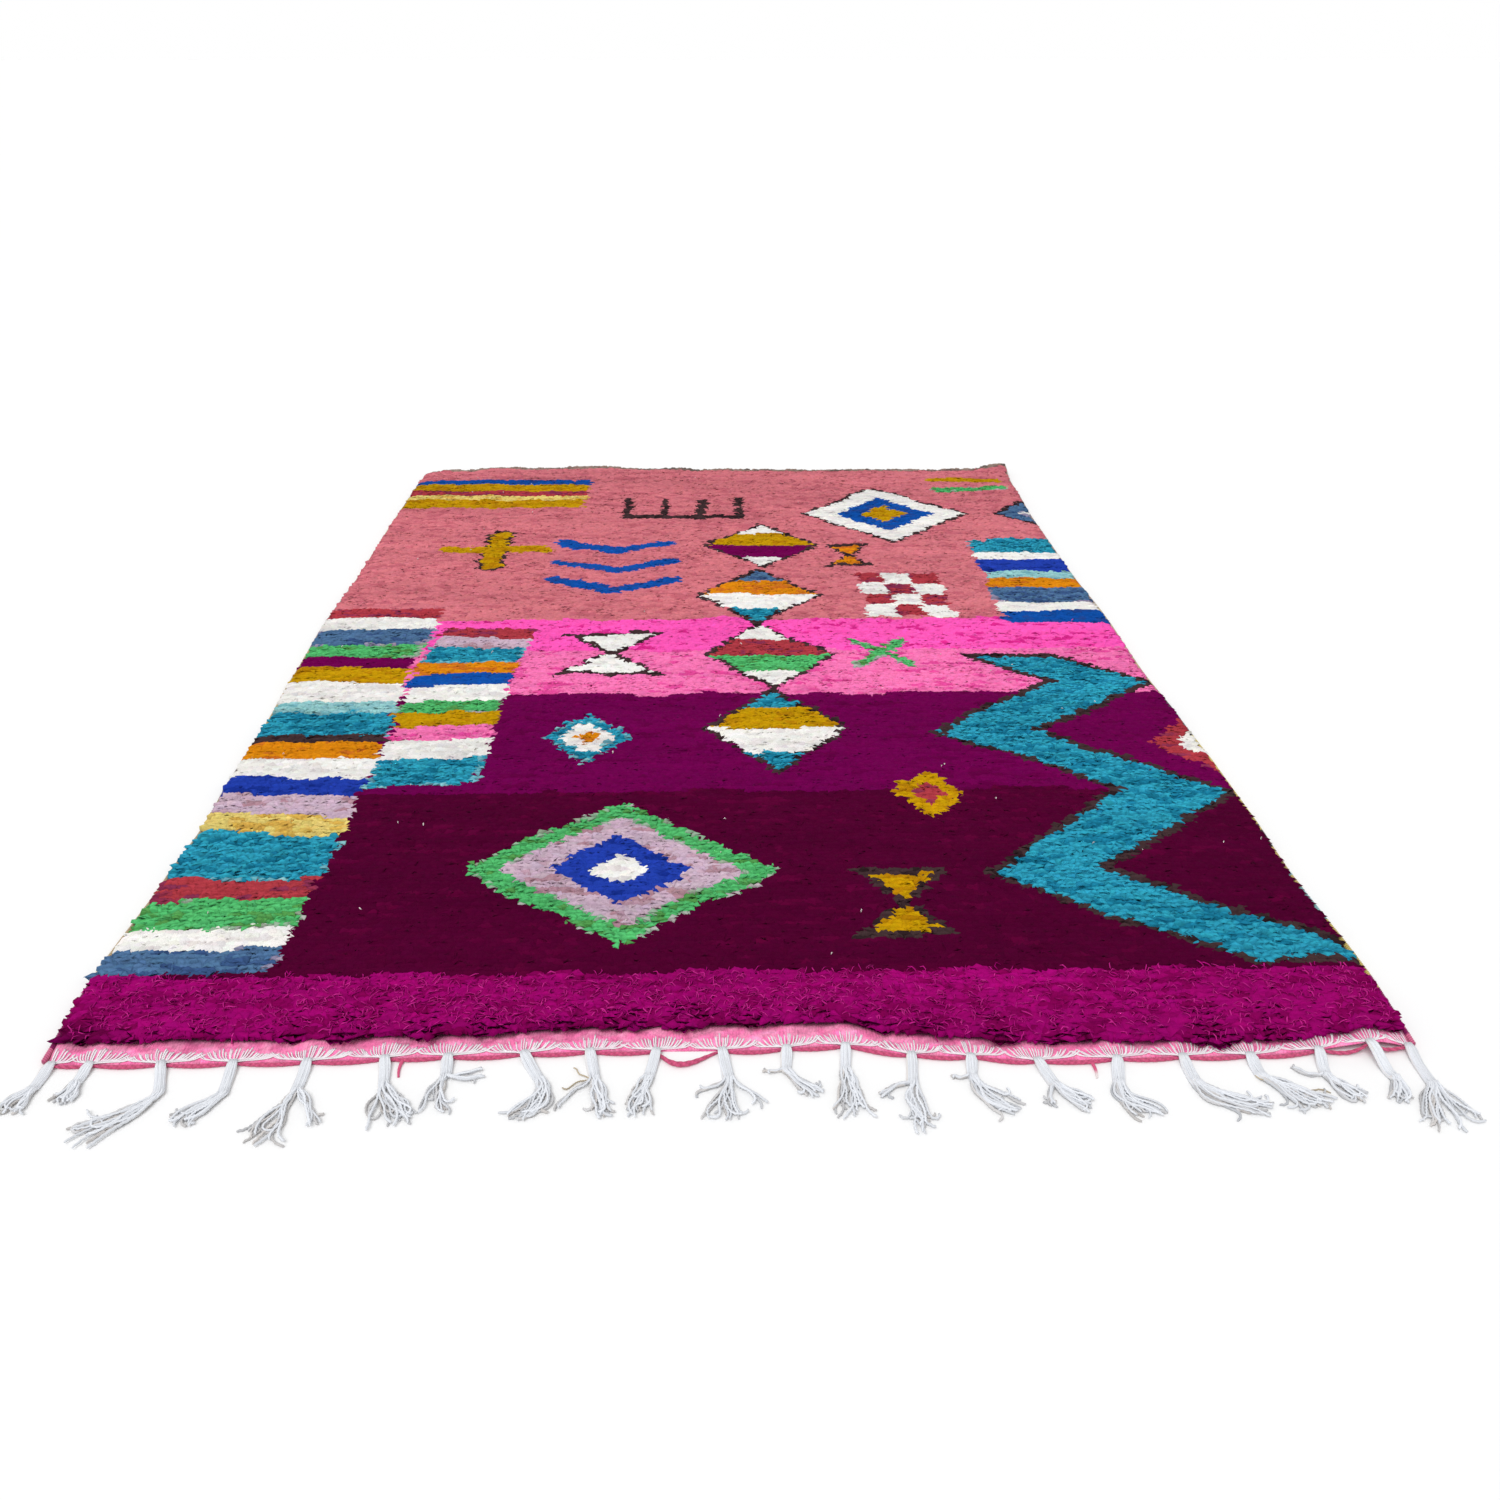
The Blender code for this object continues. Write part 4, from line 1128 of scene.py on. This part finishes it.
def build_tassel(number, tassel, material):
    """A tassel of cotton yarns: close together in its neck, then loose, crossing and uneven."""
    chance = np.random.default_rng(200 + number)
    edge = float(strip_y(tassel.x))
    hang = float(lift(tassel.x, edge))
    root = np.array([tassel.x, edge + 0.001, 0.0])
    way = heading(np.array(float(tassel.neck_lean)))
    side = np.array([-way[1], way[0], 0.0])
    bridge = YARN_PINCH + hang + 0.0004
    landing = NECK_LANDING + NECK_LANDING_PER_HANG * hang
    stops = (0.0, NECK_BRIDGE, landing, tassel.neck)
    along = np.linspace(0, tassel.neck, NECK_STATIONS)
    base = np.interp(along, stops, (bridge, bridge, 0.0, 0.0))
    width = np.interp(along, stops, NECK_WIDTHS - COTTON_SIZE)
    height = np.interp(along, stops, NECK_HEIGHTS - COTTON_SIZE)
    sways = [
        (chance.uniform(2.5, 6.0), chance.uniform(0, 6), chance.uniform(6, 20))
        for _ in range(STRANDS)
    ]
    threads = [each for each in LOOSE_THREADS if each.tassel == number]
    share = np.linspace(0, 1, SPRAY_STATIONS)
    paths, sizes, colours = [], [], []
    for yarn in range(YARNS + len(threads)):
        place = (yarn % YARNS + 0.5) / YARNS * 2 - 1
        layer = (yarn * 7 % YARNS) / (YARNS - 1)
        sway = chance.uniform(-0.12, 0.12) * np.sin(along / tassel.neck * chance.uniform(2, 5))
        off = np.clip(place * 0.92 + sway, -1, 1) * width / 2
        neck = root + way * along[:, None] + side * off[:, None]
        neck[:, 2] = base + COTTON_SIZE / 2 + layer * height * np.sqrt(1 - 0.75 * np.abs(place))

        strand = min(int((place + 1) / 2 * STRANDS), STRANDS - 1)
        strand_place = (strand + 0.5) / STRANDS * 2 - 1
        thin = yarn >= YARNS
        lane = threads[yarn - YARNS] if thin else tassel
        for branch in () if thin else BRANCHES:
            if branch.tassel == number and branch.first <= strand + 1 <= branch.last:
                lane = branch
        steps = laid_yarn(
            chance, lane, tassel.neck_lean, place, strand_place, tassel.spread, sways[strand]
        )
        spots = neck[-1] + np.cumsum(steps, axis=0)
        loft = layer * mix(NECK_HEIGHTS[-1] - COTTON_SIZE, 0.0042, ease(share * 1.4))
        hop = 0.0022 * np.abs(np.sin(share * chance.uniform(3, 7) + chance.uniform(0, 3)))
        spots[:, 2] = COTTON_SIZE / 2 + loft + hop * (1 - share)
        paths.append(np.concatenate([neck, spots]))

        thick = THREAD_SIZE if thin else COTTON_SIZE * chance.uniform(0.80, 1.10)
        size = np.full(NECK_STATIONS + SPRAY_STATIONS, thick)
        size[-1] *= 0.7
        sizes.append(size)
        # Along the spray the lower layers of yarn are darker, as painted shade, and take a beige
        # tint with it
        loose = ease((np.arange(len(size)) - NECK_STATIONS) / 4)
        shade = mix(chance.uniform(0.90, 1.0), mix(0.62, 1.0, layer), loose)
        tone = linear(THREAD_CREAM if thin else COTTON_WHITE)
        warm = chance.uniform(0.84, 1.0) if layer < 0.5 and not thin else 1.0
        colours.append(tone * np.array([1.0, mix(0.5, 1.0, warm), warm]) * shade[:, None])
    size = np.array(sizes)
    piece = tubes(
        f"tassel_yarns_{number:02d}", np.array(paths), size, size, COTTON_SIDES, np.array(colours)
    )
    return settle(piece, material, "cotton_fringe", f"tassel_{number:02d}")


def node_tree(owner):
    """The shader nodes of a new material or world."""
    owner.use_nodes = True
    return owner.node_tree


def put(tree, node, **values):
    """Sets up a node, or a new one of the kind that is named: its own settings, in small letters,
    then its inputs, with _ for spaces. An input takes a value, or the output to link to it."""
    if isinstance(node, str):
        node = tree.nodes.new(node)
    for name, value in values.items():
        if name.islower():
            setattr(node, name, value)
        elif isinstance(value, bpy.types.NodeSocket):
            tree.links.new(value, node.inputs[name.replace("_", " ")])
        else:
            node.inputs[name.replace("_", " ")].default_value = value
    return node.outputs


def graded(tree, source, low, high, to_low, to_high):
    """A value taken from one range to another."""
    ends = {"From_Min": low, "From_Max": high, "To_Min": to_low, "To_Max": to_high}
    return put(tree, "ShaderNodeMapRange", Value=source, **ends)["Result"]


def fabric(name, roughness, sheen, stretch, scale, tones, bumps, ribs=None):
    """A fabric that takes its colour from the points' dye. Fine fibres, drawn out by the stretch,
    make it darker and lighter and stand out of it, with close ribs where their scale is given."""
    material = bpy.data.materials.new(name)
    tree = node_tree(material)
    place = put(tree, "ShaderNodeTexCoord")["Object"]
    drawn_out = put(tree, "ShaderNodeMapping", Vector=place, Scale=stretch)["Vector"]
    fibres = {"Vector": drawn_out, "Scale": scale, "Detail": 3.0, "Roughness": 0.65}
    height = put(tree, "ShaderNodeTexNoise", **fibres)["Fac"]
    colour = put(
        tree,
        "ShaderNodeMix",
        data_type="RGBA",
        blend_type="MULTIPLY",
        Factor=1.0,
        A=put(tree, "ShaderNodeAttribute", attribute_name="dye")["Color"],
        B=graded(tree, height, 0.30, 0.70, *tones),
    )["Result"]
    if ribs:
        wave = {"Vector": place, "Scale": ribs, "Distortion": 1.5, "Detail": 2.0}
        ribbed = put(tree, "ShaderNodeTexWave", bands_direction="X", **wave)["Fac"]
        height = put(tree, "ShaderNodeMix", Factor=0.5, A=height, B=ribbed)["Result"]
    strength, distance = bumps
    bump = {"Height": height, "Strength": strength, "Distance": distance}
    put(
        tree,
        tree.nodes["Principled BSDF"],
        Base_Color=colour,
        Roughness=roughness,
        Specular_IOR_Level=0.02,
        Sheen_Weight=sheen,
        Sheen_Roughness=0.5,
        Normal=put(tree, "ShaderNodeBump", **bump)["Normal"],
    )
    return material


def lights_and_camera():
    """The photo's view, a white studio that is dimmer overhead, and one soft light."""
    scene = bpy.context.scene
    camera = bpy.data.objects.new("camera", bpy.data.cameras.new("camera"))
    camera.data.lens = 31.8
    camera.data.sensor_width = 36
    camera.data.shift_x = 0.0147
    camera.location = (-0.0335, -3.056, 1.32)
    camera.rotation_euler = (math.radians(90 - 27.9), 0, math.radians(-0.9))
    bpy.context.collection.objects.link(camera)
    scene.camera = camera
    scene.view_settings.view_transform = "Standard"

    world = bpy.data.worlds.new("studio")
    tree = node_tree(world)
    way = put(tree, "ShaderNodeTexCoord")["Generated"]
    height = put(tree, "ShaderNodeSeparateXYZ", Vector=way)["Z"]
    brightness = graded(tree, height, 0.08, 0.40, 1.0, 0.70)
    put(tree, tree.nodes["Background"], Color=(1, 1, 1, 1), Strength=brightness)
    scene.world = world
    sun = bpy.data.lights.new("soft sun", "SUN")
    sun.energy = 1.5
    sun.angle = math.radians(35)
    lamp = bpy.data.objects.new("soft sun", sun)
    lamp.rotation_euler = (math.radians(28), math.radians(-18), 0)
    bpy.context.collection.objects.link(lamp)


def build_floor():
    """A plain pale floor."""
    corners = [(-1, -1, 0), (1, -1, 0), (1, 1, 0), (-1, 1, 0)]
    floor = mesh_of("floor", np.array(corners) * FLOOR_REACH, [(0, 1, 2, 3)])
    material = bpy.data.materials.new("pale floor")
    tree = node_tree(material)
    noise = put(tree, "ShaderNodeTexNoise", Scale=3.0)["Fac"]
    ramp = tree.nodes.new("ShaderNodeValToRGB")
    for end, light in zip(ramp.color_ramp.elements, (0.90, 0.93)):
        end.color = (light, light, light, 1)
    colour = put(tree, ramp, Fac=noise)["Color"]
    put(tree, tree.nodes["Principled BSDF"], Base_Color=colour, Roughness=0.9)
    floor.data.materials.append(material)


def build_rug():
    """All pieces of the rug, each with its fabric."""
    wool = fabric("pile wool", 0.95, 0.0, (1.0, 0.45, 0.30), 900, (0.84, 1.14), (0.3, 0.0010))
    twist, bumps = (1.0, 0.5, 1.0), (0.5, 0.0008)
    wrap, weft = (
        fabric(name, 0.9, 0.2, twist, 900, (0.75, 1.15), bumps)
        for name in ("selvedge wool", "weft wool")
    )
    cotton = fabric("fringe cotton", 0.85, 0.1, twist, 1400, (0.84, 1.04), bumps)
    weave = fabric(
        "flat weave", 0.9, 0.2, (1.0, 0.55, 1.0), 300, (0.72, 1.26), (0.7, 0.0015), ribs=70
    )
    pile = [*build_pile(wool), build_curls(wool)]
    rolls = [build_selvedge(side, wrap) for side in (("left", -1, left_x), ("right", 1, right_x))]
    swags = build_edge_yarn(weft)
    fans = build_fans(cotton)
    tassels = [
        build_tassel(number, tassel, cotton) for number, tassel in enumerate(TASSELS, start=1)
    ]
    build_cloth(weave)


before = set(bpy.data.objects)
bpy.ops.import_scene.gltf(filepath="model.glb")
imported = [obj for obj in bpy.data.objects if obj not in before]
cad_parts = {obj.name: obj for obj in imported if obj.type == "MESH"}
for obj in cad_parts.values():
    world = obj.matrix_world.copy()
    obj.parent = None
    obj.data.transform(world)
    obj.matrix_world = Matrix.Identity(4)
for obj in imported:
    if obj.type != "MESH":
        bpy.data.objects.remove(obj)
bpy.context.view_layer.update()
SOLID_PILE = BVHTree.FromObject(
    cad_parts["woven_rug"], bpy.context.evaluated_depsgraph_get()
)
lights_and_camera()
build_floor()
build_rug()
